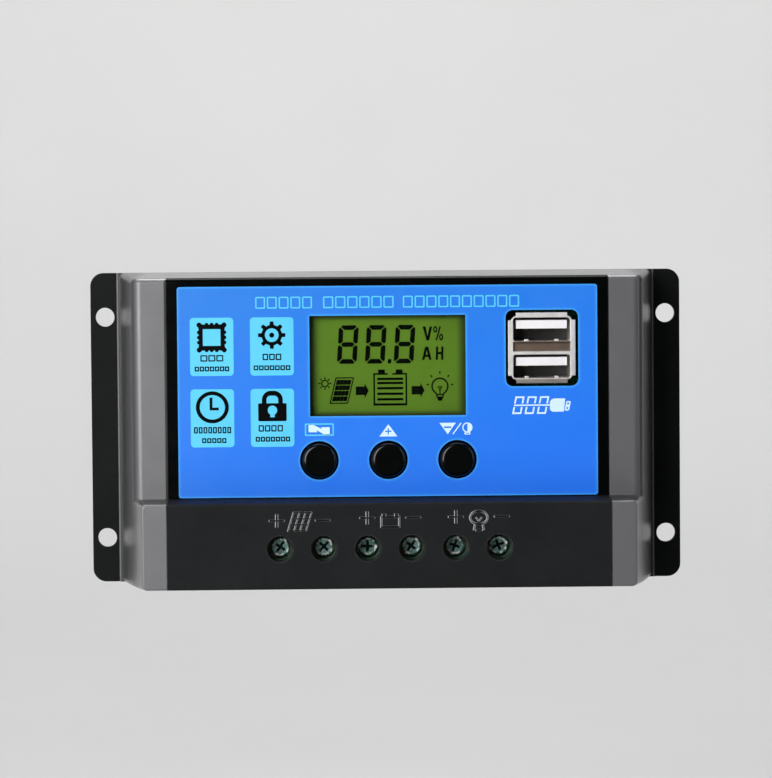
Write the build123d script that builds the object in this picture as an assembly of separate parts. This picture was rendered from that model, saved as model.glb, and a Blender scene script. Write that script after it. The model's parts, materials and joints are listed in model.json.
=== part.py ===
from build123d import *
import math
import os

# A wall-mounted solar charge controller: a steel back plate, a tapered plastic case with a display
# section above a raised terminal section, and the board, display, keys, sockets and clamps inside.
# Millimetres, +Z up, +X to the right as seen from the front, and the front faces -Y.
# The origin is the centre of the plate's back face, which lies against the wall at Y = 0.
# "out" always means the distance from the wall, so a point's Y is minus its out value.

# ---- Driving dimensions: plate and case ----
PLATE_WIDTH = 133.5
PLATE_HEIGHT = 70.0
PLATE_THICKNESS = 1.5
PLATE_CORNER_RADIUS = 3.0
MOUNT_SPACING_X = 127.0
MOUNT_SPACING_Z = 50.0
MOUNT_HOLE_RADIUS = 2.15

WALL = 2.0
JOINT_GAP = 0.05
FOOT_HALF_WIDTH = 60.75
FOOT_THICKNESS = 0.6
CASE_BACK_HALF_WIDTH = 60.25
CASE_FRONT_HALF_WIDTH = 53.55
SIDE_BULGE = 0.5
CASE_BACK_HALF_HEIGHT = 35.0
CASE_FRONT_HALF_HEIGHT = 33.7
DISPLAY_OUT = 26.5
TERMINAL_OUT = 35.0
STEP_BACK_Z = -14.5
STEP_FRONT_Z = -15.1
SHOULDER_RADIUS = 2.3
LONG_CORNER_RADIUS = 1.2
STEP_CORNER_RADIUS = 1.0
EDGE_RADIUS = 0.5
INSERT_HALF_WIDTH = 48.25
INSERT_CHAMFER = 0.5
CAVITY_REACH = 200.0
SECTION_OVERLAP = 5.0
CUT = 1.0

# ---- Where the case's rounded edges lie: |X|, out and Z ranges of their middles ----
SIDE_EDGES_X = (CASE_FRONT_HALF_WIDTH - 1.0, CASE_BACK_HALF_WIDTH)
SHOULDER_EDGES = (SIDE_EDGES_X, (DISPLAY_OUT - 0.1, DISPLAY_OUT + 0.1), (0.0, 20.0))
TOP_CORNER_EDGES = (SIDE_EDGES_X, (10.0, 25.0), (30.0, 36.0))
STEP_CORNER_EDGES = (SIDE_EDGES_X, (10.0, 34.0), (-16.0, -14.0))
BOTTOM_CORNER_EDGES = (SIDE_EDGES_X, (10.0, 30.0), (-36.0, -30.0))
TERMINAL_RIM_EDGES = ((0.0, 60.0), (TERMINAL_OUT - 0.1, TERMINAL_OUT + 0.1), (-36.0, -14.0))

# ---- Driving dimensions: front frame, label and window ----
FRAME_BACK_OUT = DISPLAY_OUT - WALL
LABEL_HALF_WIDTH = 45.85
LABEL_BOTTOM_Z = -14.3
LABEL_TOP_Z = 31.8
LABEL_THICKNESS = 0.8
LABEL_SEAT_DEPTH = 0.4
LABEL_CORNER_RADIUS = 0.6
WINDOW_WIDTH = 34.1
WINDOW_HEIGHT = 21.95
WINDOW_Z = 14.33
LENS_BORDER = 1.0
LENS_THICKNESS = 0.8
LENS_CLEARANCE = 0.1
LIP_REACH = 1.6
LIP_INSET = 3.0
LIP_THICKNESS = 1.0
LIP_BOTTOM_Z = STEP_BACK_Z + 0.5
POST_RADIUS = 2.6

# ---- Driving dimensions: circuit board ----
BOARD_WIDTH = 97.0
BOARD_TOP_Z = 31.4
BOARD_BOTTOM_Z = -31.0
BOARD_BACK_OUT = 11.4
BOARD_THICKNESS = 1.6
BOARD_FRONT_OUT = BOARD_BACK_OUT + BOARD_THICKNESS
FRAME_POSTS = [(-45.0, 28.2), (45.0, 28.2)]
COVER_POSTS = [(-40.0, -27.0), (40.0, -27.0)]
LEAD_TAIL = 1.0
LEAD_CLEARANCE = 0.15

# ---- Driving dimensions: keys and their switches ----
KEY_NAMES = ["menu", "up", "down"]
KEY_X = [-15.1, 0.0, 15.1]
KEY_Z = -6.3
KEY_RADIUS = 3.8
KEY_HOLE_RADIUS = 3.95
KEY_LABEL_RADIUS = 4.25
KEY_OUT = 27.9
KEY_EDGE_RADIUS = 0.9
KEY_FLANGE_RADIUS = 4.7
KEY_FLANGE_THICKNESS = 0.9
KEY_TRAVEL = 0.4
SWITCH_SIZE = 6.0
SWITCH_HEIGHT = 3.6
STEM_RADIUS = 1.7
STEM_HOLE_RADIUS = 1.78
STEM_OUT = 22.0
STEM_FOOT_OUT = 15.4
STEM_COLLAR_WIDTH = 0.5
STEM_COLLAR_THICKNESS = 0.6

# ---- Driving dimensions: twin USB-A socket ----
USB_X = 33.75
USB_Z = 17.9
USB_PORT_WIDTH = 12.5
USB_PORT_HEIGHT = 5.12
USB_PORT_PITCH = 8.1
USB_METAL = 0.4
USB_PORT_RADIUS = 0.6
USB_TUBE_RADIUS = 1.2
USB_RIM_WIDTH = 14.76
USB_RIM_HEIGHT = 15.5
USB_FLAP_THICKNESS = 0.5
USB_SIDE_FLAP = (1.0, 12.2)
USB_END_FLAP = (11.2, 1.0)
USB_DIVIDER_RECESS = (0.2, 1.95, 0.8)
USB_SPRING_X = 3.3
USB_SPRING_SIZE = (0.9, 0.4)
USB_SPRING_OUT = (23.4, 25.5)
USB_LEG_LENGTH = 2.0
USB_FRONT_OUT = 26.3
USB_RECESS_WIDTH = 15.9
USB_RECESS_HEIGHT = 16.7
USB_RECESS_RADIUS = 1.6
USB_TONGUE_WIDTH = 11.15
USB_TONGUE_THICKNESS = 1.85
USB_TONGUE_RECESS = 0.9
USB_TONGUE_DROP = 0.55
USB_FLOOR_OUT = 17.0
USB_CONTACT_X = [-3.5, -1.0, 1.0, 3.5]
USB_CONTACT_SIZE = (1.0, 0.2)

# ---- Driving dimensions: screw terminals ----
POLE_COUNT = 6
POLE_PITCH = 9.5
POLE_X = [POLE_PITCH * (i - (POLE_COUNT - 1) / 2) for i in range(POLE_COUNT)]
SCREW_Z = -24.9
DRIVER_HOLE_RADIUS = 2.65
DRIVER_HOLE_CHAMFER = 0.25
COLLAR_RADIUS = 3.5
TERMINAL_BLOCK_END = 0.8
TERMINAL_BLOCK_OUT = 31.0
TERMINAL_BLOCK_TOP_Z = -19.2
TERMINAL_BLOCK_BOTTOM_Z = -31.5
HEAD_RADIUS = 2.1
HEAD_THICKNESS = 1.4
HEAD_OUT = 30.1
HEAD_EDGE_RADIUS = 0.4
HEAD_BORE_RADIUS = 2.55
SCREW_RADIUS = 1.5
SCREW_TIP_OUT = 22.5
SLOT_WIDTH = 0.75
SLOT_DEPTH = 0.7
SLOT_ANGLES = [57.0, 47.0, -2.0, 52.0, 71.0, 22.0]
CROSS_WIDTH = 0.7
CROSS_LENGTH = 2.5
CROSS_DEPTH = 1.1
CHAMBER_HALF_WIDTH = 3.75
CHAMBER_TOP_Z = -21.5
CHAMBER_FLOOR_OUT = 15.4
CHAMBER_ROOF_OUT = 28.8
CAGE_HALF_WIDTH = 3.5
CAGE_SIDE = 0.85
CAGE_LENGTH = 5.8
CAGE_YOKE_BACK_OUT = 23.1
CAGE_YOKE_THICKNESS = 1.6
CAGE_FLOOR_OUT = 15.8
CAGE_FLOOR_THICKNESS = 1.0
CAGE_THREAD_RADIUS = 1.56
BAR_HALF_WIDTH = 2.3
BAR_OUT = 22.4
BAR_THICKNESS = 0.8
BAR_END_Z = -28.4
PIN_HALF_WIDTH = 0.6
PIN_Z = -20.3
PIN_THICKNESS = 0.7
WIRE_WINDOW_WIDTH = 7.2
WIRE_WINDOW_OUT = (16.2, 22.4)
COVER_FLOOR_BACK_OUT = 14.9
COVER_FLOOR_TOP_Z = -28.0
COVER_LIP_OUT = (FRAME_BACK_OUT - 1.0, FRAME_BACK_OUT + WALL)
COVER_LIP_Z = (STEP_BACK_Z - WALL - 0.6, STEP_BACK_Z - WALL + 0.3)

# ---- Driving dimensions: moulded signs over the terminals ----
SIGN_HEIGHT = 0.25
SIGN_ROOT = 0.3
SIGN_STROKE = 0.45
SIGN_CREST = 0.4
SIGN_GROUP_PLACES = [(-19.4, -18.75), (0.15, -18.3), (19.3, -18.25)]
SIGN_OFFSET = 4.97
SIGN_PLUS_HEIGHT = 2.9
SIGN_PLUS_WIDTH = 0.7
SIGN_LENGTH = 3.4
GRID_PITCH = 1.3
GRID_LINES = [-1.5, -0.5, 0.5, 1.5]
GRID_STROKE = 0.34
GRID_DROP = -0.25
GRID_LEAN = 17.0
BATTERY_WIDTH = 4.3
BATTERY_HEIGHT = 2.6
BATTERY_DROP = -0.9
BATTERY_POST = (1.35, 1.0, 0.5)
LAMP_RADII = (2.1, 1.65)
LAMP_DROP = -0.2
LAMP_NECK = (0.95, -2.25, 1.5, 12.0)
LAMP_BASE = (1.5, -2.95)
LAMP_FILAMENT = (0.35, -0.55, 1.0, 35.0)

# ---- Driving dimensions: screws that hold the object together ----
CASE_SCREW_X = 52.3
CASE_SCREW_Z = 26.0
CASE_BOSS_RADIUS = 2.9
CASE_BOSS_OUT = 19.0
CASE_SCREW_LENGTH = 10.0
CASE_SCREW_RADIUS = 1.3
CASE_SCREW_HEAD_RADIUS = 2.6
CASE_SCREW_HEAD_DEPTH = 1.3
BOARD_SCREW_RADIUS = 1.1
BOARD_SCREW_HEAD_RADIUS = 2.1
BOARD_SCREW_HEAD_THICKNESS = 1.3
BOARD_SCREW_LENGTH = 7.0
BOARD_SCREW_CROSS_DEPTH = 0.7
THREAD_GAP = 0.03
BOSS_RIB_THICKNESS = 1.2

# ---- Driving dimensions: display module ----
GLASS_WIDTH = 38.0
GLASS_HEIGHT = 26.4
GLASS_THICKNESS = 1.1
GLASS_OUT = FRAME_BACK_OUT - 0.1
LIGHT_THICKNESS = 2.4
LIGHT_WIDTH = 36.6
LIGHT_HEIGHT = 22.6
HOLDER_WALL = 1.2
HOLDER_FLOOR = 0.8
HOLDER_LEG_RADIUS = 1.1
HOLDER_SEAT = 2.0
DISPLAY_PIN_COUNT = 16
DISPLAY_PIN_PITCH = 2.0
DISPLAY_PIN_SIZE = 0.35
DISPLAY_PIN_HOLE_RADIUS = 0.4
DISPLAY_PIN_INSET = 0.8
DISPLAY_PIN_SLOT = 1.2

# ---- Driving dimensions: parts on the board ----
PAD_HALF_WIDTH = 36.0
PAD_THICKNESS = 0.8
PAD_Z = (-9.5, 7.5)
TRANSISTOR_X = [-30.0, -10.0, 10.0, 30.0]
TRANSISTOR_WIDTH = 10.0
TRANSISTOR_THICKNESS = 4.4
TRANSISTOR_BODY_Z = (-8.5, 0.7)
TRANSISTOR_TAB_TOP_Z = 7.0
TRANSISTOR_TAB_THICKNESS = 1.3
TRANSISTOR_HOLE_RADIUS = 1.8
LEAD_PITCH = 2.54
LEAD_SIZE = 0.7
LEAD_HOLE_RADIUS = 0.65
LEAD_OUT = 4.8
LEAD_Z = -12.2
CAPACITOR_PLACES = [(-38.0, 20.0), (-38.0, 8.0)]
CAPACITOR_RADIUS = 4.0
CAPACITOR_HEIGHT = 10.5
CAPACITOR_EDGE_RADIUS = 0.5
COIL_PLACE = (30.0, 1.5)
COIL_RADIUS = 3.9
COIL_CORE_RADIUS = 2.9
COIL_FLANGE = 1.0
COIL_HEIGHT = 5.0
CONTROLLER_CHIP_PLACE = (-38.0, -9.0)
CONTROLLER_CHIP_SIZE = 7.0
CHIP_HEIGHT = 1.5
CHIP_LIFT = 0.1
CHIP_LEADS_PER_SIDE = 8
CHIP_LEAD_PITCH = 0.8
CHIP_LEAD_WIDTH = 0.35
CHIP_LEAD_REACH = 1.0
CHIP_LEAD_THICKNESS = 0.25
POWER_CHIP_PLACES = [(41.0, -1.0), (-20.5, -13.6)]
POWER_CHIP_SIZE = (3.9, 4.9)
POWER_CHIP_LEAD_PITCH = 1.27
POWER_CHIP_LEADS_PER_SIDE = 4
POWER_CHIP_LEAD_WIDTH = 0.4
DIODE_PLACES = [(-20.0, 18.0), (20.0, 18.0)]
DIODE_SIZE = (7.0, 6.0, 2.4)
RESISTOR_SIZE = (2.0, 1.25, 0.55)
RESISTOR_COLUMNS_X = [23.0, 26.5, 30.0, 33.5]
RESISTOR_ROWS_Z = [-4.5, -6.5, -8.5]


def block(x_limits, out_limits, z_limits):
    """A box given by its limits."""
    size = [high - low for low, high in (x_limits, out_limits, z_limits)]
    centre = (sum(x_limits) / 2, -sum(out_limits) / 2, sum(z_limits) / 2)
    return Pos(*centre) * Box(*size)


def centred_block(x, z, width, height, out_limits):
    """A box centred on a point of the front view."""
    return block((x - width / 2, x + width / 2), out_limits, (z - height / 2, z + height / 2))


def round_bar(radius, out_limits, x=0.0, z=0.0):
    """A cylinder along Y."""
    low, high = out_limits
    return Pos(x, -(low + high) / 2, z) * Rot(90, 0, 0) * Cylinder(radius, high - low)


def turned(shape, x, z, angle):
    """A shape turned about the Y line through a point, counter-clockwise as seen from the front."""
    return Pos(x, 0, z) * Rot(0, -angle, 0) * Pos(-x, 0, -z) * shape


def rounded_slab(x, z, width, height, radius, out_limits):
    """A plate facing -Y with rounded corners."""
    low, high = out_limits
    sketch = Pos(x, -low, z) * Rot(90, 0, 0) * RectangleRounded(width, height, radius)
    return extrude(sketch, amount=high - low)


def case_plan(inset):
    """The case's outline seen from above, drawn in by a wall thickness for its cavity."""
    back_x = CASE_BACK_HALF_WIDTH - inset
    front_x = CASE_FRONT_HALF_WIDTH - inset
    front_out = TERMINAL_OUT - inset
    middle = ((back_x + front_x) / 2 + SIDE_BULGE, -(PLATE_THICKNESS + front_out) / 2)
    right = [(back_x, -PLATE_THICKNESS), middle, (front_x, -front_out)]
    left = [(-x, y) for x, y in right]
    return make_face([
        Line(left[0], right[0]),
        ThreePointArc(*right),
        Line(right[2], left[2]),
        ThreePointArc(*left),
    ])


def case_section(inset, side_points):
    """The part of the case whose outline seen from the side has the given (out, Z) points."""
    side = make_face(Polyline([(-out, z) for out, z in side_points], close=True))
    across = extrude(Plane.YZ * side, amount=CAVITY_REACH, both=True)
    return extrude(case_plan(inset), amount=CAVITY_REACH, both=True) & across


def display_section(inset):
    """The upper section, down to a little below the step."""
    overlap_z = STEP_BACK_Z - SECTION_OVERLAP
    return case_section(inset, [
        (PLATE_THICKNESS, overlap_z),
        (PLATE_THICKNESS, CASE_BACK_HALF_HEIGHT - inset),
        (DISPLAY_OUT - inset, CASE_FRONT_HALF_HEIGHT - inset),
        (DISPLAY_OUT - inset, overlap_z),
    ])


def terminal_section(inset):
    """The lower section, whose front stands out beyond the display."""
    return case_section(inset, [
        (PLATE_THICKNESS, STEP_BACK_Z - inset),
        (DISPLAY_OUT, STEP_BACK_Z - inset),
        (TERMINAL_OUT - inset, STEP_FRONT_Z - inset),
        (TERMINAL_OUT - inset, inset - CASE_FRONT_HALF_HEIGHT),
        (PLATE_THICKNESS, inset - CASE_BACK_HALF_HEIGHT),
    ])


def edges_near(shape, ranges):
    """The edges whose middle lies in the given ranges of |X|, out and Z."""
    found = []
    for edge in shape.edges():
        middle = edge.position_at(0.5)
        values = (abs(middle.X), -middle.Y, middle.Z)
        if all(low <= value <= high for value, (low, high) in zip(values, ranges)):
            found.append(edge)
    return found


def outer_case():
    """The case's outside with its shoulders, corners and edges rounded."""
    upper = display_section(0.0)
    upper = fillet(edges_near(upper, SHOULDER_EDGES), SHOULDER_RADIUS)
    upper = fillet(edges_near(upper, TOP_CORNER_EDGES), LONG_CORNER_RADIUS)
    lower = terminal_section(0.0)
    lower = fillet(edges_near(lower, STEP_CORNER_EDGES), STEP_CORNER_RADIUS)
    lower = fillet(edges_near(lower, BOTTOM_CORNER_EDGES), LONG_CORNER_RADIUS)
    return upper + fillet(edges_near(lower, TERMINAL_RIM_EDGES), EDGE_RADIUS)


OUTER_CASE = outer_case()
CASE_CAVITY = display_section(WALL) + terminal_section(WALL)
CASE_SHELL = OUTER_CASE - CASE_CAVITY


def insert_zone(gap):
    """The space in the case's front that the frame and the terminal cover fill."""
    half = INSERT_HALF_WIDTH - gap
    wide = half + INSERT_CHAMFER if gap == 0.0 else half
    outline = make_face(Polyline(
        (-half, -FRAME_BACK_OUT - gap),
        (half, -FRAME_BACK_OUT - gap),
        (half, INSERT_CHAMFER - DISPLAY_OUT),
        (wide, -DISPLAY_OUT),
        (wide, -CAVITY_REACH),
        (-wide, -CAVITY_REACH),
        (-wide, -DISPLAY_OUT),
        (-half, INSERT_CHAMFER - DISPLAY_OUT),
        close=True,
    ))
    front = extrude(outline, amount=CAVITY_REACH, both=True)
    upper = front & block((-wide, wide), (0.0, DISPLAY_OUT + CUT), (STEP_BACK_Z, CAVITY_REACH))
    across = (-half, half)
    lower = block(across, (FRAME_BACK_OUT + gap, CAVITY_REACH), (-CAVITY_REACH, STEP_BACK_Z))
    floor_out = (COVER_FLOOR_BACK_OUT + gap, CAVITY_REACH)
    return upper, lower, block(across, floor_out, (-CAVITY_REACH, COVER_FLOOR_TOP_Z))


def make_back_plate():
    """Steel plate with four wall holes and four countersunk holes for the case screws."""
    plate = rounded_slab(0, 0, PLATE_WIDTH, PLATE_HEIGHT, PLATE_CORNER_RADIUS, (0.0, PLATE_THICKNESS))
    for side in (-1, 1):
        for end in (-1, 1):
            wall_x = side * MOUNT_SPACING_X / 2
            wall_z = end * MOUNT_SPACING_Z / 2
            plate -= round_bar(MOUNT_HOLE_RADIUS, (-CUT, PLATE_THICKNESS + CUT), wall_x, wall_z)
            plate -= case_screw(side * CASE_SCREW_X, end * CASE_SCREW_Z, THREAD_GAP)
    return plate


def case_screw(x, z, gap=0.0):
    """Countersunk screw driven from the back, or its hole when a gap is given."""
    shaft_out = CASE_SCREW_LENGTH + gap
    shaft = round_bar(CASE_SCREW_RADIUS + gap, (CASE_SCREW_HEAD_DEPTH, shaft_out), x, z)
    cone = Cone(CASE_SCREW_HEAD_RADIUS + gap, CASE_SCREW_RADIUS + gap, CASE_SCREW_HEAD_DEPTH)
    return shaft + Pos(x, -CASE_SCREW_HEAD_DEPTH / 2, z) * Rot(90, 0, 0) * cone


def cross_recess(x, z, out_limits):
    """The space that a crossed driver fills."""
    across = centred_block(x, z, CROSS_LENGTH, CROSS_WIDTH, out_limits)
    return across + centred_block(x, z, CROSS_WIDTH, CROSS_LENGTH, out_limits)


def make_case_screws():
    """Four countersunk screws with crossed recesses."""
    screws = []
    for side in (-1, 1):
        for end in (-1, 1):
            x = side * CASE_SCREW_X
            z = end * CASE_SCREW_Z
            screws.append(case_screw(x, z) - cross_recess(x, z, (-CUT, CROSS_DEPTH)))
    return Compound(screws)


def make_housing():
    """Grey shell: side walls, roof, floor and the strips that frame the front inserts."""
    housing = CASE_SHELL
    for zone in insert_zone(0.0):
        housing -= zone
    foot_out = PLATE_THICKNESS + FOOT_THICKNESS
    foot_height = 2 * CASE_BACK_HALF_HEIGHT
    foot = centred_block(0, 0, 2 * FOOT_HALF_WIDTH, foot_height, (PLATE_THICKNESS, foot_out))
    housing += foot - CASE_CAVITY
    for side in (-1, 1):
        for end in (-1, 1):
            x = side * CASE_SCREW_X
            z = end * CASE_SCREW_Z
            wall_x = side * (CASE_BACK_HALF_WIDTH - WALL / 2)
            boss_out = (PLATE_THICKNESS, CASE_BOSS_OUT)
            rib_z = (z - BOSS_RIB_THICKNESS / 2, z + BOSS_RIB_THICKNESS / 2)
            rib = block(sorted((x, wall_x)), boss_out, rib_z)
            boss = round_bar(CASE_BOSS_RADIUS, boss_out, x, z)
            housing += (rib & OUTER_CASE) + boss
            housing -= case_screw(x, z, THREAD_GAP)
    return housing


def key_holes(radius, out_limits):
    """Round bars through the three key positions."""
    return [round_bar(radius, out_limits, x, KEY_Z) for x in KEY_X]


def screw_post(x, z, front_out):
    """Post that carries the board, with a hole for its screw."""
    post = round_bar(POST_RADIUS, (BOARD_FRONT_OUT, front_out), x, z)
    hole_out = BOARD_BACK_OUT + BOARD_SCREW_LENGTH
    return post, round_bar(BOARD_SCREW_RADIUS + THREAD_GAP, (BOARD_BACK_OUT, hole_out), x, z)


def make_front_frame():
    """Black frame of the display section with seats for the label and the window."""
    upper = insert_zone(JOINT_GAP)[0]
    frame = CASE_SHELL & upper
    seat_out = DISPLAY_OUT - LABEL_SEAT_DEPTH
    seat = block(
        (-LABEL_HALF_WIDTH - JOINT_GAP, LABEL_HALF_WIDTH + JOINT_GAP),
        (seat_out, DISPLAY_OUT + CUT),
        (STEP_BACK_Z - CUT, LABEL_TOP_Z + JOINT_GAP),
    )
    frame -= seat
    lens_width = WINDOW_WIDTH + 2 * (LENS_BORDER + LENS_CLEARANCE)
    lens_height = WINDOW_HEIGHT + 2 * (LENS_BORDER + LENS_CLEARANCE)
    lens_seat = (seat_out - LENS_THICKNESS, DISPLAY_OUT)
    frame -= centred_block(0, WINDOW_Z, lens_width, lens_height, lens_seat)
    through = (FRAME_BACK_OUT - CUT, DISPLAY_OUT + CUT)
    frame -= centred_block(0, WINDOW_Z, WINDOW_WIDTH, WINDOW_HEIGHT, through)
    frame -= usb_recess(through)
    for hole in key_holes(KEY_HOLE_RADIUS, through):
        frame -= hole
    lip_out = (FRAME_BACK_OUT - LIP_THICKNESS - JOINT_GAP, FRAME_BACK_OUT - JOINT_GAP)
    for side in (-1, 1):
        inner = side * (INSERT_HALF_WIDTH - LIP_INSET)
        outer = side * (INSERT_HALF_WIDTH + LIP_REACH)
        frame += block(sorted((inner, outer)), lip_out, (LIP_BOTTOM_Z, BOARD_TOP_Z))
        bridge = side * (INSERT_HALF_WIDTH - JOINT_GAP)
        bridge_out = (lip_out[0], DISPLAY_OUT - WALL / 2)
        frame += block(sorted((inner, bridge)), bridge_out, (LIP_BOTTOM_Z, BOARD_TOP_Z))
    for x, z in FRAME_POSTS:
        post, hole = screw_post(x, z, DISPLAY_OUT - WALL / 2)
        frame += post
        frame -= hole
    return frame


def usb_recess(out_limits):
    """The opening around the sockets."""
    return rounded_slab(USB_X, USB_Z, USB_RECESS_WIDTH, USB_RECESS_HEIGHT, USB_RECESS_RADIUS, out_limits)


def make_label_panel():
    """Printed panel with openings for the window, the keys and the sockets."""
    seat_out = DISPLAY_OUT - LABEL_SEAT_DEPTH
    out = (seat_out, seat_out + LABEL_THICKNESS)
    height = LABEL_TOP_Z - LABEL_BOTTOM_Z
    middle = (LABEL_TOP_Z + LABEL_BOTTOM_Z) / 2
    panel = rounded_slab(0, middle, 2 * LABEL_HALF_WIDTH, height, LABEL_CORNER_RADIUS, out)
    through = (out[0] - CUT, out[1] + CUT)
    panel -= centred_block(0, WINDOW_Z, WINDOW_WIDTH, WINDOW_HEIGHT, through)
    panel -= usb_recess(through)
    for hole in key_holes(KEY_LABEL_RADIUS, through):
        panel -= hole
    return panel


def make_window_lens():
    """Clear pane under the label, in front of the display."""
    front = DISPLAY_OUT - LABEL_SEAT_DEPTH
    width = WINDOW_WIDTH + 2 * LENS_BORDER
    height = WINDOW_HEIGHT + 2 * LENS_BORDER
    return centred_block(0, WINDOW_Z, width, height, (front - LENS_THICKNESS, front))


def raised(face, x, z, lean=0.0):
    """A flat outline raised from the terminal cover's front, with a rounded crest."""
    body = extrude(Rot(90, 0, 0) * face, amount=SIGN_ROOT + SIGN_HEIGHT)
    crest = body.faces().sort_by(Axis.Y)[0]
    size = body.bounding_box().size
    stroke = min(size.X, size.Z, SIGN_STROKE)
    body = fillet(crest.edges(), SIGN_CREST * stroke)
    return Pos(x, SIGN_ROOT - TERMINAL_OUT, z) * Rot(0, -lean, 0) * body


def sign_bar(x, z, width, height, lean=0.0):
    """One raised stroke."""
    return raised(Rectangle(width, height), x, z, lean)


def panel_sign(x, z):
    """Solar panel: a leaning grid of three by three cells."""
    strokes = []
    slope = math.tan(math.radians(GRID_LEAN))
    reach = GRID_PITCH * (GRID_LINES[-1] - GRID_LINES[0]) + GRID_STROKE
    column = reach / math.cos(math.radians(GRID_LEAN))
    middle_z = z + GRID_DROP
    for line in GRID_LINES:
        offset = line * GRID_PITCH
        strokes.append(sign_bar(x + offset, middle_z, GRID_STROKE, column, -GRID_LEAN))
        strokes.append(sign_bar(x + slope * offset, middle_z + offset, reach, GRID_STROKE))
    return strokes


def battery_sign(x, z):
    """Battery: a case with two posts."""
    inside = Rectangle(BATTERY_WIDTH - 2 * SIGN_STROKE, BATTERY_HEIGHT - 2 * SIGN_STROKE)
    strokes = [raised(Rectangle(BATTERY_WIDTH, BATTERY_HEIGHT) - inside, x, z + BATTERY_DROP)]
    post_x, post_width, post_height = BATTERY_POST
    post_z = z + BATTERY_DROP + BATTERY_HEIGHT / 2
    for side in (-1, 1):
        strokes.append(sign_bar(x + side * post_x, post_z, post_width, 2 * post_height))
    return strokes


def lamp_sign(x, z):
    """Lamp: an oval bulb with a neck, a base and a filament."""
    across, up = LAMP_RADII
    bulb = Ellipse(across, up) - Ellipse(across - SIGN_STROKE, up - SIGN_STROKE)
    strokes = [raised(bulb, x, z + LAMP_DROP)]
    neck_x, neck_z, neck_length, neck_lean = LAMP_NECK
    wire_x, wire_z, wire_length, wire_lean = LAMP_FILAMENT
    for side in (-1, 1):
        neck = side * neck_lean
        wire = -side * wire_lean
        strokes.append(sign_bar(x + side * neck_x, z + neck_z, SIGN_STROKE, neck_length, neck))
        strokes.append(sign_bar(x + side * wire_x, z + wire_z, GRID_STROKE, wire_length, wire))
    base_length, base_z = LAMP_BASE
    return strokes + [sign_bar(x, z + base_z, base_length, SIGN_STROKE)]


def moulded_signs():
    """Plus, picture and minus over each pair of terminals."""
    strokes = []
    pictures = [panel_sign, battery_sign, lamp_sign]
    for (x, z), picture in zip(SIGN_GROUP_PLACES, pictures):
        strokes.append(sign_bar(x - SIGN_OFFSET, z, SIGN_LENGTH, SIGN_STROKE))
        strokes.append(sign_bar(x - SIGN_OFFSET, z, SIGN_PLUS_WIDTH, SIGN_PLUS_HEIGHT))
        strokes.append(sign_bar(x + SIGN_OFFSET, z, SIGN_LENGTH, SIGN_STROKE))
        strokes += picture(x, z)
    return strokes


def make_terminal_cover():
    """Black cover of the terminal section: screwdriver holes in front, wire windows below."""
    lower, floor = insert_zone(JOINT_GAP)[1:]
    cover = CASE_SHELL & (lower + floor)
    inner_face = TERMINAL_OUT - WALL
    for x in POLE_X:
        cover += round_bar(COLLAR_RADIUS, (TERMINAL_BLOCK_OUT + 0.2, inner_face + 0.5), x, SCREW_Z)
    for x, z in COVER_POSTS:
        post, hole = screw_post(x, z, inner_face + 0.5)
        cover += post
        cover -= hole
    chamfer = Cone(DRIVER_HOLE_RADIUS, DRIVER_HOLE_RADIUS + DRIVER_HOLE_CHAMFER, DRIVER_HOLE_CHAMFER)
    for x in POLE_X:
        cover -= round_bar(DRIVER_HOLE_RADIUS, (TERMINAL_BLOCK_OUT - CUT, TERMINAL_OUT + CUT), x, SCREW_Z)
        cover -= Pos(x, DRIVER_HOLE_CHAMFER / 2 - TERMINAL_OUT, SCREW_Z) * Rot(90, 0, 0) * chamfer
        window_x = (x - WIRE_WINDOW_WIDTH / 2, x + WIRE_WINDOW_WIDTH / 2)
        window_z = (-CASE_BACK_HALF_HEIGHT - CUT, TERMINAL_BLOCK_BOTTOM_Z)
        cover -= block(window_x, WIRE_WINDOW_OUT, window_z)
    lip_half = BOARD_WIDTH / 2 - LIP_THICKNESS
    cover += block((-lip_half, lip_half), COVER_LIP_OUT, COVER_LIP_Z)
    return cover + moulded_signs()


def make_key(x):
    """Key cap with a rounded front, a flange behind the frame and a foot on the switch stem."""
    flange_front = FRAME_BACK_OUT - JOINT_GAP
    flange = (flange_front - KEY_FLANGE_THICKNESS, flange_front)
    cap = round_bar(KEY_RADIUS, (flange[0], KEY_OUT), x, KEY_Z)
    front_edge = cap.edges().sort_by(Axis.Y)[0]
    cap = fillet(front_edge, KEY_EDGE_RADIUS)
    cap += round_bar(KEY_FLANGE_RADIUS, flange, x, KEY_Z)
    return cap + round_bar(STEM_RADIUS, (STEM_OUT, flange[0]), x, KEY_Z)


def make_switch_stem(x):
    """Plunger of the push switch, from inside its body to the key's foot."""
    collar_out = (STEM_FOOT_OUT, STEM_FOOT_OUT + STEM_COLLAR_THICKNESS)
    collar = round_bar(STEM_HOLE_RADIUS + STEM_COLLAR_WIDTH, collar_out, x, KEY_Z)
    return round_bar(STEM_RADIUS, (STEM_FOOT_OUT, STEM_OUT), x, KEY_Z) + collar


def make_switch_bodies():
    """Three push-switch bodies, each hollow around the foot of its plunger."""
    bodies = []
    top_out = BOARD_FRONT_OUT + SWITCH_HEIGHT
    for x in KEY_X:
        body = centred_block(x, KEY_Z, SWITCH_SIZE, SWITCH_SIZE, (BOARD_FRONT_OUT, top_out))
        well_back = STEM_FOOT_OUT - KEY_TRAVEL - LEAD_CLEARANCE
        well = (well_back, STEM_FOOT_OUT + STEM_COLLAR_THICKNESS + 2 * JOINT_GAP)
        body -= round_bar(STEM_HOLE_RADIUS + STEM_COLLAR_WIDTH + 2 * JOINT_GAP, well, x, KEY_Z)
        body -= round_bar(STEM_HOLE_RADIUS, (STEM_FOOT_OUT, top_out + CUT), x, KEY_Z)
        bodies.append(body)
    return Compound(bodies)


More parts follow.
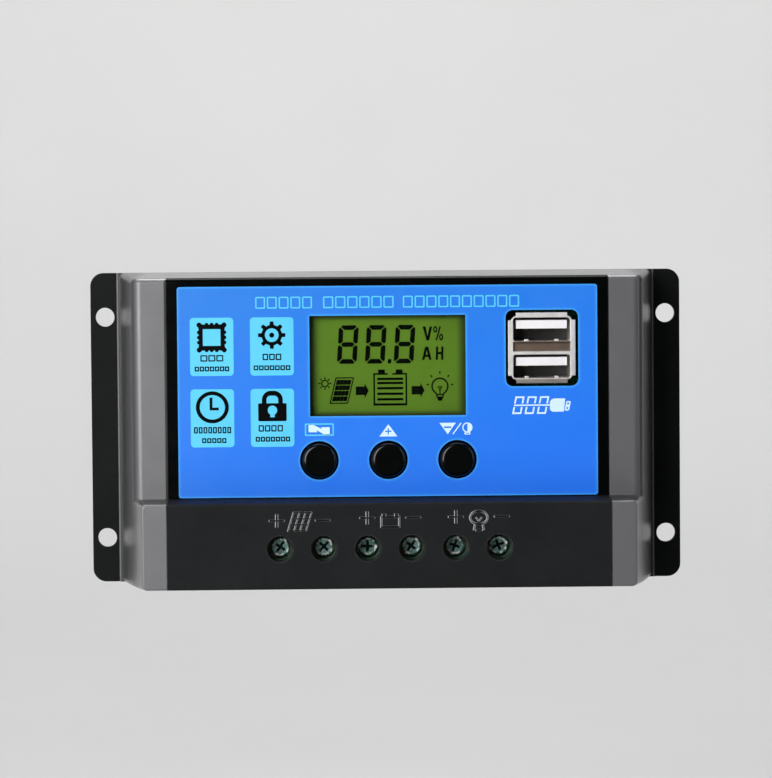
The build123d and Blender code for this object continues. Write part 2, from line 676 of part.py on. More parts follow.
def usb_port(row, gap, out_limits):
    """The space of one port less a gap, where row is -1 for the lower port and 1 for the upper."""
    z = USB_Z + row * USB_PORT_PITCH / 2
    width = USB_PORT_WIDTH - 2 * gap
    height = USB_PORT_HEIGHT - 2 * gap
    return rounded_slab(USB_X, z, width, height, USB_PORT_RADIUS, out_limits)


def make_usb_shell():
    """Plated shell of the twin socket: a tube with flared flaps, a divider, springs and legs."""
    width = USB_PORT_WIDTH + 2 * USB_METAL
    height = USB_PORT_PITCH + USB_PORT_HEIGHT + 2 * USB_METAL
    tube_out = (BOARD_FRONT_OUT, USB_FRONT_OUT)
    shell = rounded_slab(USB_X, USB_Z, width, height, USB_TUBE_RADIUS, tube_out)
    flap_out = (USB_FRONT_OUT - USB_FLAP_THICKNESS, USB_FRONT_OUT)
    for side in (-1, 1):
        flap_x = USB_X + side * (USB_RIM_WIDTH - USB_SIDE_FLAP[0]) / 2
        flap_z = USB_Z + side * (USB_RIM_HEIGHT - USB_END_FLAP[1]) / 2
        shell += centred_block(flap_x, USB_Z, *USB_SIDE_FLAP, flap_out)
        shell += centred_block(USB_X, flap_z, *USB_END_FLAP, flap_out)
    for row in (-1, 1):
        shell -= usb_port(row, 0.0, (BOARD_FRONT_OUT - CUT, USB_FRONT_OUT + CUT))
    lift, recess_height, recess_depth = USB_DIVIDER_RECESS
    recess_out = (USB_FRONT_OUT - recess_depth, USB_FRONT_OUT + CUT)
    shell -= centred_block(USB_X, USB_Z + lift, USB_PORT_WIDTH, recess_height, recess_out)
    spring_width, spring_height = USB_SPRING_SIZE
    leg_out = (BOARD_BACK_OUT - LEAD_TAIL, BOARD_FRONT_OUT + CUT)
    for side in (-1, 1):
        for row in (-1, 1):
            floor_z = USB_Z + row * USB_PORT_PITCH / 2 - USB_PORT_HEIGHT / 2
            spring_x = USB_X + side * USB_SPRING_X
            shell += centred_block(spring_x, floor_z, spring_width, 2 * spring_height, USB_SPRING_OUT)
        leg_x = USB_X + side * (width - USB_METAL) / 2
        shell += centred_block(leg_x, USB_Z, USB_METAL, USB_LEG_LENGTH, leg_out)
    return shell


def make_usb_insulator():
    """Black block that closes the back of both ports."""
    blocks = [usb_port(row, JOINT_GAP, (BOARD_FRONT_OUT, USB_FLOOR_OUT)) for row in (-1, 1)]
    return Compound(blocks)


def tongue_z(row):
    """Height of a tongue's middle: it sits in the upper part of its port."""
    port_top = USB_Z + row * USB_PORT_PITCH / 2 + USB_PORT_HEIGHT / 2
    return port_top - USB_TONGUE_DROP - USB_TONGUE_THICKNESS / 2


def make_usb_tongues():
    """White contact carriers of the two ports."""
    out = (USB_FLOOR_OUT, USB_FRONT_OUT - USB_TONGUE_RECESS)
    tongues = []
    for row in (-1, 1):
        z = tongue_z(row)
        tongues.append(centred_block(USB_X, z, USB_TONGUE_WIDTH, USB_TONGUE_THICKNESS, out))
    return Compound(tongues)


def make_usb_contacts():
    """Four spring contacts under each tongue."""
    out = (USB_FLOOR_OUT, USB_FRONT_OUT - USB_TONGUE_RECESS - CUT)
    contacts = []
    for row in (-1, 1):
        z = tongue_z(row) - (USB_TONGUE_THICKNESS + USB_CONTACT_SIZE[1]) / 2
        for x in USB_CONTACT_X:
            contacts.append(centred_block(USB_X + x, z, *USB_CONTACT_SIZE, out))
    return Compound(contacts)


def make_terminal_block():
    """Green terminal block: a screw bore and a clamp chamber for each pole, open below."""
    half = POLE_COUNT * POLE_PITCH / 2 + TERMINAL_BLOCK_END
    body_z = (TERMINAL_BLOCK_BOTTOM_Z, TERMINAL_BLOCK_TOP_Z)
    body = block((-half, half), (BOARD_FRONT_OUT, TERMINAL_BLOCK_OUT), body_z)
    chamber_out = (CHAMBER_FLOOR_OUT, CHAMBER_ROOF_OUT)
    bore_out = (CHAMBER_ROOF_OUT - CUT, TERMINAL_BLOCK_OUT + CUT)
    for x in POLE_X:
        chamber_x = (x - CHAMBER_HALF_WIDTH, x + CHAMBER_HALF_WIDTH)
        body -= block(chamber_x, chamber_out, (TERMINAL_BLOCK_BOTTOM_Z - CUT, CHAMBER_TOP_Z))
        body -= round_bar(HEAD_BORE_RADIUS, bore_out, x, SCREW_Z)
        body -= terminal_bar(x, JOINT_GAP)
    return body


def terminal_bar(x, gap=0.0):
    """Contact bar of one pole with its soldered leg, or its slot when a gap is given."""
    bar_x = (x - BAR_HALF_WIDTH - gap, x + BAR_HALF_WIDTH + gap)
    bar_out = (BAR_OUT - BAR_THICKNESS - gap, BAR_OUT + gap)
    pin_z = (PIN_Z - PIN_THICKNESS / 2 - gap, PIN_Z + PIN_THICKNESS / 2 + gap)
    bar = block(bar_x, bar_out, (BAR_END_Z, pin_z[1]))
    leg_x = (x - PIN_HALF_WIDTH - gap, x + PIN_HALF_WIDTH + gap)
    return bar + block(leg_x, (BOARD_BACK_OUT - LEAD_TAIL, bar_out[1]), pin_z)


def make_terminal_bars():
    """Six tinned contact bars."""
    return Compound([terminal_bar(x) for x in POLE_X])


def make_terminal_screw(x, slot_angle):
    """Clamp screw whose head takes a flat or a crossed driver."""
    head = round_bar(HEAD_RADIUS, (HEAD_OUT - HEAD_THICKNESS, HEAD_OUT), x, SCREW_Z)
    head = fillet(head.edges().sort_by(Axis.Y)[0], HEAD_EDGE_RADIUS)
    screw = head + round_bar(SCREW_RADIUS, (SCREW_TIP_OUT, HEAD_OUT - HEAD_THICKNESS), x, SCREW_Z)
    slot_out = (HEAD_OUT - SLOT_DEPTH, HEAD_OUT + CUT)
    recess = centred_block(x, SCREW_Z, 3 * HEAD_RADIUS, SLOT_WIDTH, slot_out)
    recess += cross_recess(x, SCREW_Z, (HEAD_OUT - CROSS_DEPTH, HEAD_OUT + CUT))
    return screw - turned(recess, x, SCREW_Z, slot_angle)


def make_clamp_cage(x):
    """Square ring that climbs the screw and lifts the wire against the contact bar."""
    front_out = CAGE_YOKE_BACK_OUT + CAGE_YOKE_THICKNESS
    cage = centred_block(x, SCREW_Z, 2 * CAGE_HALF_WIDTH, CAGE_LENGTH, (CAGE_FLOOR_OUT, front_out))
    inner_width = 2 * (CAGE_HALF_WIDTH - CAGE_SIDE)
    inner_out = (CAGE_FLOOR_OUT + CAGE_FLOOR_THICKNESS, CAGE_YOKE_BACK_OUT)
    cage -= centred_block(x, SCREW_Z, inner_width, CAGE_LENGTH + CUT, inner_out)
    return cage - round_bar(CAGE_THREAD_RADIUS, (inner_out[0], front_out + CUT), x, SCREW_Z)


def transistor_lead_places():
    """Front-view places where the transistors' leads pass through the board."""
    return [(x + step * LEAD_PITCH, LEAD_Z) for x in TRANSISTOR_X for step in (-1, 0, 1)]


def display_pin_places():
    """Front-view places of the display's pins, along the glass's upper edge."""
    z = WINDOW_Z + GLASS_HEIGHT / 2 - DISPLAY_PIN_INSET
    first = -DISPLAY_PIN_PITCH * (DISPLAY_PIN_COUNT - 1) / 2
    return [(first + DISPLAY_PIN_PITCH * i, z) for i in range(DISPLAY_PIN_COUNT)]


def make_circuit_board():
    """Board with holes for its screws and for every lead that passes through it."""
    half = BOARD_WIDTH / 2
    board = block((-half, half), (BOARD_BACK_OUT, BOARD_FRONT_OUT), (BOARD_BOTTOM_Z, BOARD_TOP_Z))
    through = (BOARD_BACK_OUT - CUT, BOARD_FRONT_OUT + CUT)
    slack = 2 * LEAD_CLEARANCE
    for x, z in FRAME_POSTS + COVER_POSTS:
        board -= round_bar(BOARD_SCREW_RADIUS + LEAD_CLEARANCE, through, x, z)
    for x in POLE_X:
        board -= centred_block(x, PIN_Z, 2 * PIN_HALF_WIDTH + slack, PIN_THICKNESS + slack, through)
    for x, z in transistor_lead_places():
        board -= round_bar(LEAD_HOLE_RADIUS, through, x, z)
    for x, z in display_pin_places():
        board -= round_bar(DISPLAY_PIN_HOLE_RADIUS, through, x, z)
    for side in (-1, 1):
        x = USB_X + side * (USB_PORT_WIDTH + USB_METAL) / 2
        board -= centred_block(x, USB_Z, USB_METAL + slack, USB_LEG_LENGTH + slack, through)
    return board


def make_board_screws():
    """Four pan-head screws through the board into the posts."""
    screws = []
    head_out = BOARD_BACK_OUT - BOARD_SCREW_HEAD_THICKNESS
    for x, z in FRAME_POSTS + COVER_POSTS:
        tip_out = BOARD_BACK_OUT + BOARD_SCREW_LENGTH - CUT / 2
        screw = round_bar(BOARD_SCREW_RADIUS, (BOARD_BACK_OUT, tip_out), x, z)
        screw += round_bar(BOARD_SCREW_HEAD_RADIUS, (head_out, BOARD_BACK_OUT), x, z)
        screws.append(screw - cross_recess(x, z, (head_out - CUT, head_out + BOARD_SCREW_CROSS_DEPTH)))
    return Compound(screws)


GLASS_BACK_OUT = GLASS_OUT - GLASS_THICKNESS
LIGHT_BACK_OUT = GLASS_BACK_OUT - LIGHT_THICKNESS


def make_display_glass():
    """Liquid-crystal glass behind the window."""
    return centred_block(0, WINDOW_Z, GLASS_WIDTH, GLASS_HEIGHT, (GLASS_BACK_OUT, GLASS_OUT))


def make_display_light():
    """Light guide that lights the glass from behind."""
    return centred_block(0, WINDOW_Z, LIGHT_WIDTH, LIGHT_HEIGHT, (LIGHT_BACK_OUT, GLASS_BACK_OUT))


def make_display_holder():
    """Frame around the glass and light guide, on four legs that stand on the board."""
    inner_width = GLASS_WIDTH + 4 * JOINT_GAP
    inner_height = GLASS_HEIGHT + 4 * JOINT_GAP
    outer_width = inner_width + 2 * HOLDER_WALL
    outer_height = inner_height + 2 * HOLDER_WALL
    back_out = LIGHT_BACK_OUT - HOLDER_FLOOR
    holder = centred_block(0, WINDOW_Z, outer_width, outer_height, (back_out, GLASS_OUT))
    holder -= centred_block(0, WINDOW_Z, inner_width, inner_height, (LIGHT_BACK_OUT, GLASS_OUT))
    open_width = LIGHT_WIDTH - 2 * HOLDER_SEAT
    open_height = LIGHT_HEIGHT - 2 * HOLDER_SEAT
    holder -= centred_block(0, WINDOW_Z, open_width, open_height, (back_out, GLASS_OUT))
    pin_x = DISPLAY_PIN_PITCH * DISPLAY_PIN_COUNT / 2
    pin_z = display_pin_places()[0][1]
    slot_z = (pin_z - DISPLAY_PIN_SLOT / 2, pin_z + DISPLAY_PIN_SLOT / 2)
    holder -= block((-pin_x, pin_x), (back_out, GLASS_BACK_OUT), slot_z)
    leg_x = outer_width / 2 - HOLDER_LEG_RADIUS
    leg_z = outer_height / 2 - HOLDER_LEG_RADIUS
    for side in (-1, 1):
        for end in (-1, 1):
            z = WINDOW_Z + end * leg_z
            holder += round_bar(HOLDER_LEG_RADIUS, (BOARD_FRONT_OUT, back_out), side * leg_x, z)
    return holder


def make_display_pins():
    """Row of pins from the glass's edge to the board."""
    pins = []
    for x, z in display_pin_places():
        out = (BOARD_BACK_OUT - LEAD_TAIL, GLASS_BACK_OUT)
        pins.append(centred_block(x, z, DISPLAY_PIN_SIZE, DISPLAY_PIN_SIZE, out))
    return Compound(pins)


def make_thermal_pad():
    """Pad that carries the transistors' heat to the plate."""
    out = (PLATE_THICKNESS, PLATE_THICKNESS + PAD_THICKNESS)
    return block((-PAD_HALF_WIDTH, PAD_HALF_WIDTH), out, PAD_Z)


def make_power_transistors():
    """Four power transistors flat on the pad, with leads bent up to the board."""
    transistors = []
    back_out = PLATE_THICKNESS + PAD_THICKNESS
    tab_out = (back_out, back_out + TRANSISTOR_TAB_THICKNESS)
    body_z = TRANSISTOR_BODY_Z
    hole_z = (body_z[1] + TRANSISTOR_TAB_TOP_Z) / 2
    for x in TRANSISTOR_X:
        body_x = (x - TRANSISTOR_WIDTH / 2, x + TRANSISTOR_WIDTH / 2)
        body = block(body_x, (back_out, back_out + TRANSISTOR_THICKNESS), body_z)
        body += block(body_x, tab_out, (body_z[1], TRANSISTOR_TAB_TOP_Z))
        body -= round_bar(TRANSISTOR_HOLE_RADIUS, (back_out - CUT, tab_out[1] + CUT), x, hole_z)
        for step in (-1, 0, 1):
            lead_x = x + step * LEAD_PITCH
            limits = (lead_x - LEAD_SIZE / 2, lead_x + LEAD_SIZE / 2)
            lead_end_z = LEAD_Z - LEAD_SIZE / 2
            body += block(limits, (LEAD_OUT - LEAD_SIZE, LEAD_OUT), (lead_end_z, body_z[0]))
            rise = (LEAD_OUT - LEAD_SIZE, BOARD_FRONT_OUT + LEAD_TAIL)
            body += centred_block(lead_x, LEAD_Z, LEAD_SIZE, LEAD_SIZE, rise)
        transistors.append(body)
    return Compound(transistors)


def make_capacitors():
    """Two electrolytic capacitors standing on the board."""
    cans = []
    for x, z in CAPACITOR_PLACES:
        out = (BOARD_FRONT_OUT, BOARD_FRONT_OUT + CAPACITOR_HEIGHT)
        can = round_bar(CAPACITOR_RADIUS, out, x, z)
        cans.append(fillet(can.edges().sort_by(Axis.Y)[0], CAPACITOR_EDGE_RADIUS))
    return Compound(cans)


def make_coil():
    """Drum coil of the socket's voltage converter."""
    x, z = COIL_PLACE
    top_out = BOARD_FRONT_OUT + COIL_HEIGHT
    coil = round_bar(COIL_CORE_RADIUS, (BOARD_FRONT_OUT, top_out), x, z)
    coil += round_bar(COIL_RADIUS, (BOARD_FRONT_OUT, BOARD_FRONT_OUT + COIL_FLANGE), x, z)
    return coil + round_bar(COIL_RADIUS, (top_out - COIL_FLANGE, top_out), x, z)


def chip_body(x, z, width, height):
    """Moulded body of a chip, lifted a little off the board."""
    back_out = BOARD_FRONT_OUT + CHIP_LIFT
    return centred_block(x, z, width, height, (back_out, back_out + CHIP_HEIGHT))


def chip_leads(x, z, width, height):
    """One strip of lead under a chip, from side to side."""
    out = (BOARD_FRONT_OUT, BOARD_FRONT_OUT + CHIP_LEAD_THICKNESS)
    return centred_block(x, z, width, height, out)


def make_controller_chip():
    """Square controller chip with leads on all four sides."""
    x, z = CONTROLLER_CHIP_PLACE
    reach = CONTROLLER_CHIP_SIZE + 2 * CHIP_LEAD_REACH
    chip = chip_body(x, z, CONTROLLER_CHIP_SIZE, CONTROLLER_CHIP_SIZE)
    for i in range(CHIP_LEADS_PER_SIDE):
        offset = CHIP_LEAD_PITCH * (i - (CHIP_LEADS_PER_SIDE - 1) / 2)
        chip += chip_leads(x + offset, z, CHIP_LEAD_WIDTH, reach)
        chip += chip_leads(x, z + offset, reach, CHIP_LEAD_WIDTH)
    return chip


def make_power_chips():
    """Two eight-lead chips: the socket's converter and the transistor driver."""
    chips = []
    reach = POWER_CHIP_SIZE[0] + 2 * CHIP_LEAD_REACH
    for x, z in POWER_CHIP_PLACES:
        chip = chip_body(x, z, *POWER_CHIP_SIZE)
        for i in range(POWER_CHIP_LEADS_PER_SIDE):
            offset = POWER_CHIP_LEAD_PITCH * (i - (POWER_CHIP_LEADS_PER_SIDE - 1) / 2)
            chip += chip_leads(x, z + offset, reach, POWER_CHIP_LEAD_WIDTH)
        chips.append(chip)
    return Compound(chips)


def make_power_diodes():
    """Two blocking diodes on the back of the board."""
    width, height, depth = DIODE_SIZE
    out = (BOARD_BACK_OUT - depth, BOARD_BACK_OUT)
    return Compound([centred_block(x, z, width, height, out) for x, z in DIODE_PLACES])


def make_chip_resistors():
    """Small resistors in rows beside the keys."""
    width, height, depth = RESISTOR_SIZE
    out = (BOARD_FRONT_OUT, BOARD_FRONT_OUT + depth)
    places = [(x, z) for x in RESISTOR_COLUMNS_X for z in RESISTOR_ROWS_Z]
    return Compound([centred_block(x, z, width, height, out) for x, z in places])


def all_nodes():
    """Every sub-part by name."""
    nodes = {
        "back_plate": make_back_plate(),
        "thermal_pad": make_thermal_pad(),
        "housing": make_housing(),
        "front_frame": make_front_frame(),
        "terminal_cover": make_terminal_cover(),
        "label_panel": make_label_panel(),
        "window_lens": make_window_lens(),
        "display_glass": make_display_glass(),
        "display_light": make_display_light(),
        "display_holder": make_display_holder(),
        "display_pins": make_display_pins(),
        "circuit_board": make_circuit_board(),
        "switch_bodies": make_switch_bodies(),
        "usb_shell": make_usb_shell(),
        "usb_insulator": make_usb_insulator(),
        "usb_tongues": make_usb_tongues(),
        "usb_contacts": make_usb_contacts(),
        "terminal_block": make_terminal_block(),
        "terminal_bars": make_terminal_bars(),
        "power_transistors": make_power_transistors(),
        "capacitors": make_capacitors(),
        "coil": make_coil(),
        "controller_chip": make_controller_chip(),
        "power_chips": make_power_chips(),
        "power_diodes": make_power_diodes(),
        "chip_resistors": make_chip_resistors(),
        "case_screws": make_case_screws(),
        "board_screws": make_board_screws(),
    }
    for name, x in zip(KEY_NAMES, KEY_X):
        nodes[f"{name}_button"] = make_key(x)
        nodes[f"{name}_switch_stem"] = make_switch_stem(x)
    for i, (x, slot_angle) in enumerate(zip(POLE_X, SLOT_ANGLES), start=1):
        nodes[f"terminal_screw_{i}"] = make_terminal_screw(x, slot_angle)
        nodes[f"clamp_cage_{i}"] = make_clamp_cage(x)
    return nodes


os.makedirs("parts", exist_ok=True)
for node_name, node_shape in all_nodes().items():
    export_step(node_shape, f"parts/{node_name}.step")
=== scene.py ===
import json
import math

import bmesh
import bpy
from mathutils import Matrix, Vector
from mathutils.geometry import tessellate_polygon


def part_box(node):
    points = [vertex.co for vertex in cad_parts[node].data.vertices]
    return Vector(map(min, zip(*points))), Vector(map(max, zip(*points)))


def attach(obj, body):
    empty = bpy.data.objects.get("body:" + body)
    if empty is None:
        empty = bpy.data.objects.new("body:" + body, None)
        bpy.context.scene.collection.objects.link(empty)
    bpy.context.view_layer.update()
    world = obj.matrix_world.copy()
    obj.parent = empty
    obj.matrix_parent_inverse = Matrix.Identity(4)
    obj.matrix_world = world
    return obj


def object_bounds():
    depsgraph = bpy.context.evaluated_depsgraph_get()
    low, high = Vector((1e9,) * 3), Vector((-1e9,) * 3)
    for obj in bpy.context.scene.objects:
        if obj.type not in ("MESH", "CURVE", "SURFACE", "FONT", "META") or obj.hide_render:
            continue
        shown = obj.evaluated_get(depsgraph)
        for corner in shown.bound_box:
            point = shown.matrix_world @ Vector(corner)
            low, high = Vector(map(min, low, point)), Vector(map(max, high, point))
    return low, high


# A solar charge controller, upright in front of a pale curved backdrop and seen from the front.
# Blender works in metres, with +Z up, the front facing -Y and the plate's back face at Y = 0. Places and
# sizes of prints and tints are written in millimetres and turned into metres with MM.

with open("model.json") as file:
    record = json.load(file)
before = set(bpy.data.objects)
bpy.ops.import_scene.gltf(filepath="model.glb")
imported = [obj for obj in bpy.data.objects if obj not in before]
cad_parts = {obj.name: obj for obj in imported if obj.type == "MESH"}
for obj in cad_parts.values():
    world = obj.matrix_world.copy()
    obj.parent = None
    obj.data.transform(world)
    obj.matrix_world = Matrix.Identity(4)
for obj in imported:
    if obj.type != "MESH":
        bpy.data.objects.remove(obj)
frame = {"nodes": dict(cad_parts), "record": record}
CAD_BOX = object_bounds()
MM = 0.001

LABEL_LOW, LABEL_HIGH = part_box("label_panel")


def middle(node):
    """The centre of a node in the front view, in millimetres."""
    low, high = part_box(node)
    return (low.x + high.x) / 2 / MM, (low.z + high.z) / 2 / MM


def front_out(node):
    """How far a node's front stands out from the wall, in millimetres."""
    return -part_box(node)[0].y / MM


# Places read from the CAD nodes, in millimetres in the front view.
LABEL_OUT = front_out("label_panel")
LABEL_X = middle("label_panel")[0]
WINDOW_X, WINDOW_Z = middle("window_lens")
SOCKET_X, SOCKET_Z = middle("usb_shell")

# Where the materials change their tint, in millimetres. A pair gives the two ends of a change, and a single
# fade is the distance over which it happens.
# The case: its walls behind the front, where shade is painted; its foot on the plate, left out of that shade;
# and the ledge between its two sections, where a shadow is painted.
CASE_HALF_WIDTH = 55.0
WALL_SHADE = (53.5, 56.2)
WALL_FOOT = (60.35, 60.55)
LEDGE_Z = -14.8
LEDGE_FADE = (0.5, 0.35)
LEDGE_OUT = 30.4
LEDGE_REACH = (3.9, 3.3)
LEDGE_HALF_WIDTH = (54.6, 54.2)
# The label's painted highlight, a cyan glow along its edges.
LABEL_GLOW = 1.2
# The display, with painted shade along its edges.
WINDOW_HALF_WIDTH = 17.05
WINDOW_HALF_HEIGHT = 10.98
WINDOW_SIDE_FADE = 2.3
WINDOW_END_FADE = 1.3
# The sockets' shell, with painted shade on the web between the ports and on the flap under them.
WEB_LIFT = 0.36
WEB_HALF_HEIGHT = 1.14
WEB_HALF_WIDTH = 6.35
WEB_FADE = 0.1
FOOT_FLAP = 6.7
FOOT_FADE = 0.2
# The raised signs on the terminal cover, whose flanks get painted highlights and painted shade.
SIGN_OUT = (35.0, 35.06)
# The clamp screws: how deep the painted shade in the recess reaches, the ends of its slots, and the painted
# highlight ring round it.
POLE_PITCH = 9.5
SCREW_Z = -24.9
HEAD_DARK_OUT = 29.25
HEAD_DARK_FADE = (0.72, 0.5)
SLOT_END = (1.42, 1.55)
HEAD_EDGE = (2.07, 2.0)
HIGHLIGHT_RING_RADIUS = 1.68
HIGHLIGHT_RING_FADE = (0.3, 0.12)


# ---- Shader helpers ----

# The span of a noise that a mottle or a varied roughness uses.
MOTTLE_LOW = 0.3
MOTTLE_HIGH = 0.7
BEVEL_SAMPLES = 6
# The rounding of a moulded or bent edge, in metres.
EDGE_RADIUS = 0.0002
# Dot products of the bevelled and the true normal that count as flat and as a sharp edge.
EDGE_DOTS = (0.97, 0.75)


def srgb(code):
    """Linear colour of a #rrggbb code."""
    parts = [int(code[i:i + 2], 16) / 255 for i in (1, 3, 5)]
    return tuple(p / 12.92 if p <= 0.04045 else ((p + 0.055) / 1.055) ** 2.4 for p in parts) + (1.0,)


class Shader:
    """A procedural material around one Principled shader."""

    def __init__(self, name, roughness=0.5, metallic=0.0, **sockets):
        self.material = bpy.data.materials.new(name)
        self.material.use_nodes = True
        self.tree = self.material.node_tree
        self.principled = self.tree.nodes["Principled BSDF"]
        self.principled.inputs["Roughness"].default_value = roughness
        self.principled.inputs["Metallic"].default_value = metallic
        for socket, value in sockets.items():
            self.principled.inputs[socket.replace("_", " ")].default_value = value
        self.place = self.node("ShaderNodeTexCoord").outputs["Object"]

    def node(self, kind, **settings):
        made = self.tree.nodes.new(kind)
        for key, value in settings.items():
            setattr(made, key, value)
        return made

    def link(self, source, target):
        self.tree.links.new(source, target)

    def noise(self, scale, detail=4.0, stretch=(1.0, 1.0, 1.0)):
        """Noise with a feature size of about 1 / scale metres."""
        mapping = self.node("ShaderNodeMapping")
        mapping.inputs["Scale"].default_value = stretch
        self.link(self.place, mapping.inputs["Vector"])
        texture = self.node("ShaderNodeTexNoise")
        texture.inputs["Scale"].default_value = scale
        texture.inputs["Detail"].default_value = detail
        self.link(mapping.outputs["Vector"], texture.inputs["Vector"])
        return texture.outputs["Fac"]

    def ramp(self, value, stops):
        """A colour ramp over (position, colour) stops."""
        made = self.node("ShaderNodeValToRGB")
        elements = made.color_ramp.elements
        while len(elements) < len(stops):
            elements.new(0.5)
        for element, (position, colour) in zip(elements, stops):
            element.position = position
            element.color = colour
        self.link(value, made.inputs["Fac"])
        return made.outputs["Color"]

    def mottle(self, scale, colour, lighter, high=MOTTLE_HIGH, stretch=(1.0, 1.0, 1.0)):
        """Patches of two colours, about 1 / scale metres wide."""
        stops = [(MOTTLE_LOW, srgb(colour)), (high, srgb(lighter))]
        return self.ramp(self.noise(scale, stretch=stretch), stops)

    def remap(self, value, low, high, new_low, new_high, smooth=False):
        made = self.node("ShaderNodeMapRange")
        if smooth:
            made.interpolation_type = "SMOOTHSTEP"
        made.inputs["From Min"].default_value = low
        made.inputs["From Max"].default_value = high
        made.inputs["To Min"].default_value = new_low
        made.inputs["To Max"].default_value = new_high
        self.link(value, made.inputs["Value"])
        return made.outputs["Result"]

    def mix(self, factor, first, second):
        """Mix of two colours; each is a socket or an rgba value."""
        made = self.node("ShaderNodeMix", data_type="RGBA")
        for value, socket in ((factor, made.inputs[0]), (first, made.inputs[6]), (second, made.inputs[7])):
            if isinstance(value, (float, tuple)):
                socket.default_value = value
            else:
                self.link(value, socket)
        return made.outputs[2]

    def math(self, operation, first, second=0.0):
        """Arithmetic on one or two values; each is a socket or a number."""
        made = self.node("ShaderNodeMath", operation=operation)
        for value, socket in ((first, made.inputs[0]), (second, made.inputs[1])):
            if isinstance(value, (int, float)):
                socket.default_value = value
            else:
                self.link(value, socket)
        return made.outputs[0]

    def axis(self, name):
        """One coordinate of the place, in metres."""
        made = self.node("ShaderNodeSeparateXYZ")
        self.link(self.place, made.inputs[0])
        return made.outputs[name]

    def edge_wear_and_highlight(self, radius, strength=1.0):
        """About 1 on sharp edges and 0 on flats, for edge wear and for painted highlights along edges."""
        bevel = self.node("ShaderNodeBevel", samples=BEVEL_SAMPLES)
        bevel.inputs["Radius"].default_value = radius
        plain = self.node("ShaderNodeNewGeometry")
        dot = self.node("ShaderNodeVectorMath", operation="DOT_PRODUCT")
        self.link(bevel.outputs["Normal"], dot.inputs[0])
        self.link(plain.outputs["Normal"], dot.inputs[1])
        return self.remap(dot.outputs["Value"], *EDGE_DOTS, 0.0, strength)

    def colour(self, value):
        self.link(value, self.principled.inputs["Base Color"])

    def roughness(self, scale, low, high, stretch=(1.0, 1.0, 1.0)):
        """Roughness that varies from low to high."""
        varied = self.remap(self.noise(scale, stretch=stretch), MOTTLE_LOW, MOTTLE_HIGH, low, high)
        self.link(varied, self.principled.inputs["Roughness"])

    def bump(self, height, distance, strength=1.0, edge_radius=0.0):
        """Surface relief, with edges rounded for the light when a radius is given."""
        made = self.node("ShaderNodeBump")
        made.inputs["Distance"].default_value = distance
        made.inputs["Strength"].default_value = strength
        self.link(height, made.inputs["Height"])
        if edge_radius:
            bevel = self.node("ShaderNodeBevel", samples=BEVEL_SAMPLES)
            bevel.inputs["Radius"].default_value = edge_radius
            self.link(bevel.outputs["Normal"], made.inputs["Normal"])
        self.link(made.outputs["Normal"], self.principled.inputs["Normal"])


def plastic(name, colour, lighter, roughness, grain, relief, edge_radius=0.0, **sockets):
    """Moulded plastic with slight mottling and a fine grain."""
    shader = Shader(name, **sockets)
    shader.colour(shader.mottle(90.0, colour, lighter))
    shader.roughness(260.0, *roughness)
    shader.bump(shader.noise(grain, detail=2.0), relief, edge_radius=edge_radius)
    return shader


def metal(name, colour, lighter, roughness, stretch, edge_radius=0.0):
    """Plated or brushed metal with fine lines along the axis whose stretch is least."""
    shader = Shader(name, metallic=1.0)
    shader.colour(shader.mottle(500.0, colour, lighter, stretch=stretch))
    shader.roughness(700.0, *roughness, stretch=stretch)
    shader.bump(shader.noise(1800.0, stretch=stretch), 0.000004, strength=0.4, edge_radius=edge_radius)
    return shader


# ---- Materials of the CAD nodes ----

def plate_material():
    """Black powder coat with a fine orange peel."""
    shader = Shader("plate_paint", Specular_IOR_Level=0.07)
    shader.colour(shader.mottle(60.0, "#0e1010", "#151818", high=0.75))
    shader.roughness(300.0, 0.38, 0.5)
    shader.bump(shader.noise(1500.0, detail=2.0), 0.00003, strength=0.5, edge_radius=0.0003)
    return shader.material


def case_material():
    """Satin metallic grey plastic with painted shade: darker towards the right, darker down the side walls,
    and a painted shadow on the ledge between the sections.
    """
    shader = Shader("case_grey", metallic=0.2, Specular_IOR_Level=0.4, Coat_Weight=0.12, Coat_Roughness=0.14)
    # Painted shade: the front is darker towards the right, away from the key light.
    rightward = shader.remap(shader.axis("X"), -CASE_HALF_WIDTH * MM, CASE_HALF_WIDTH * MM, 0.0, 1.0)
    front = shader.mottle(120.0, "#6e6e70", "#747476")
    front = shader.mix(rightward, front, srgb("#656567"))
    aside = shader.math("ABSOLUTE", shader.axis("X"))
    # Painted shade down the side walls, leaving out the foot on the plate.
    wall = shader.remap(aside, WALL_SHADE[0] * MM, WALL_SHADE[1] * MM, 0.0, 1.0, smooth=True)
    above_foot = shader.remap(aside, WALL_FOOT[1] * MM, WALL_FOOT[0] * MM, 0.0, 1.0)
    painted_wall_shade = shader.math("MULTIPLY", wall, above_foot)
    wear_and_painted_light = shader.mix(painted_wall_shade, front, shader.mix(rightward, srgb("#3e3e40"), srgb("#2a2a2b")))
    # A painted shadow on the ledge between the two sections.
    from_ledge = shader.math("ABSOLUTE", shader.math("SUBTRACT", shader.axis("Z"), LEDGE_Z * MM))
    ledge = shader.remap(from_ledge, LEDGE_FADE[0] * MM, LEDGE_FADE[1] * MM, 0.0, 1.0)
    along_ledge = shader.math("ABSOLUTE", shader.math("ADD", shader.axis("Y"), LEDGE_OUT * MM))
    reach = shader.remap(along_ledge, LEDGE_REACH[0] * MM, LEDGE_REACH[1] * MM, 0.0, 1.0)
    on_top = shader.remap(aside, LEDGE_HALF_WIDTH[0] * MM, LEDGE_HALF_WIDTH[1] * MM, 0.0, 1.0)
    shadow = shader.math("MULTIPLY", shader.math("MULTIPLY", ledge, reach), on_top)
    shader.colour(shader.mix(shadow, wear_and_painted_light, srgb("#2c2c2d")))
    shader.roughness(240.0, 0.3, 0.36)
    shader.bump(shader.noise(2500.0, detail=2.0), 0.000004, strength=0.4)
    return shader.material


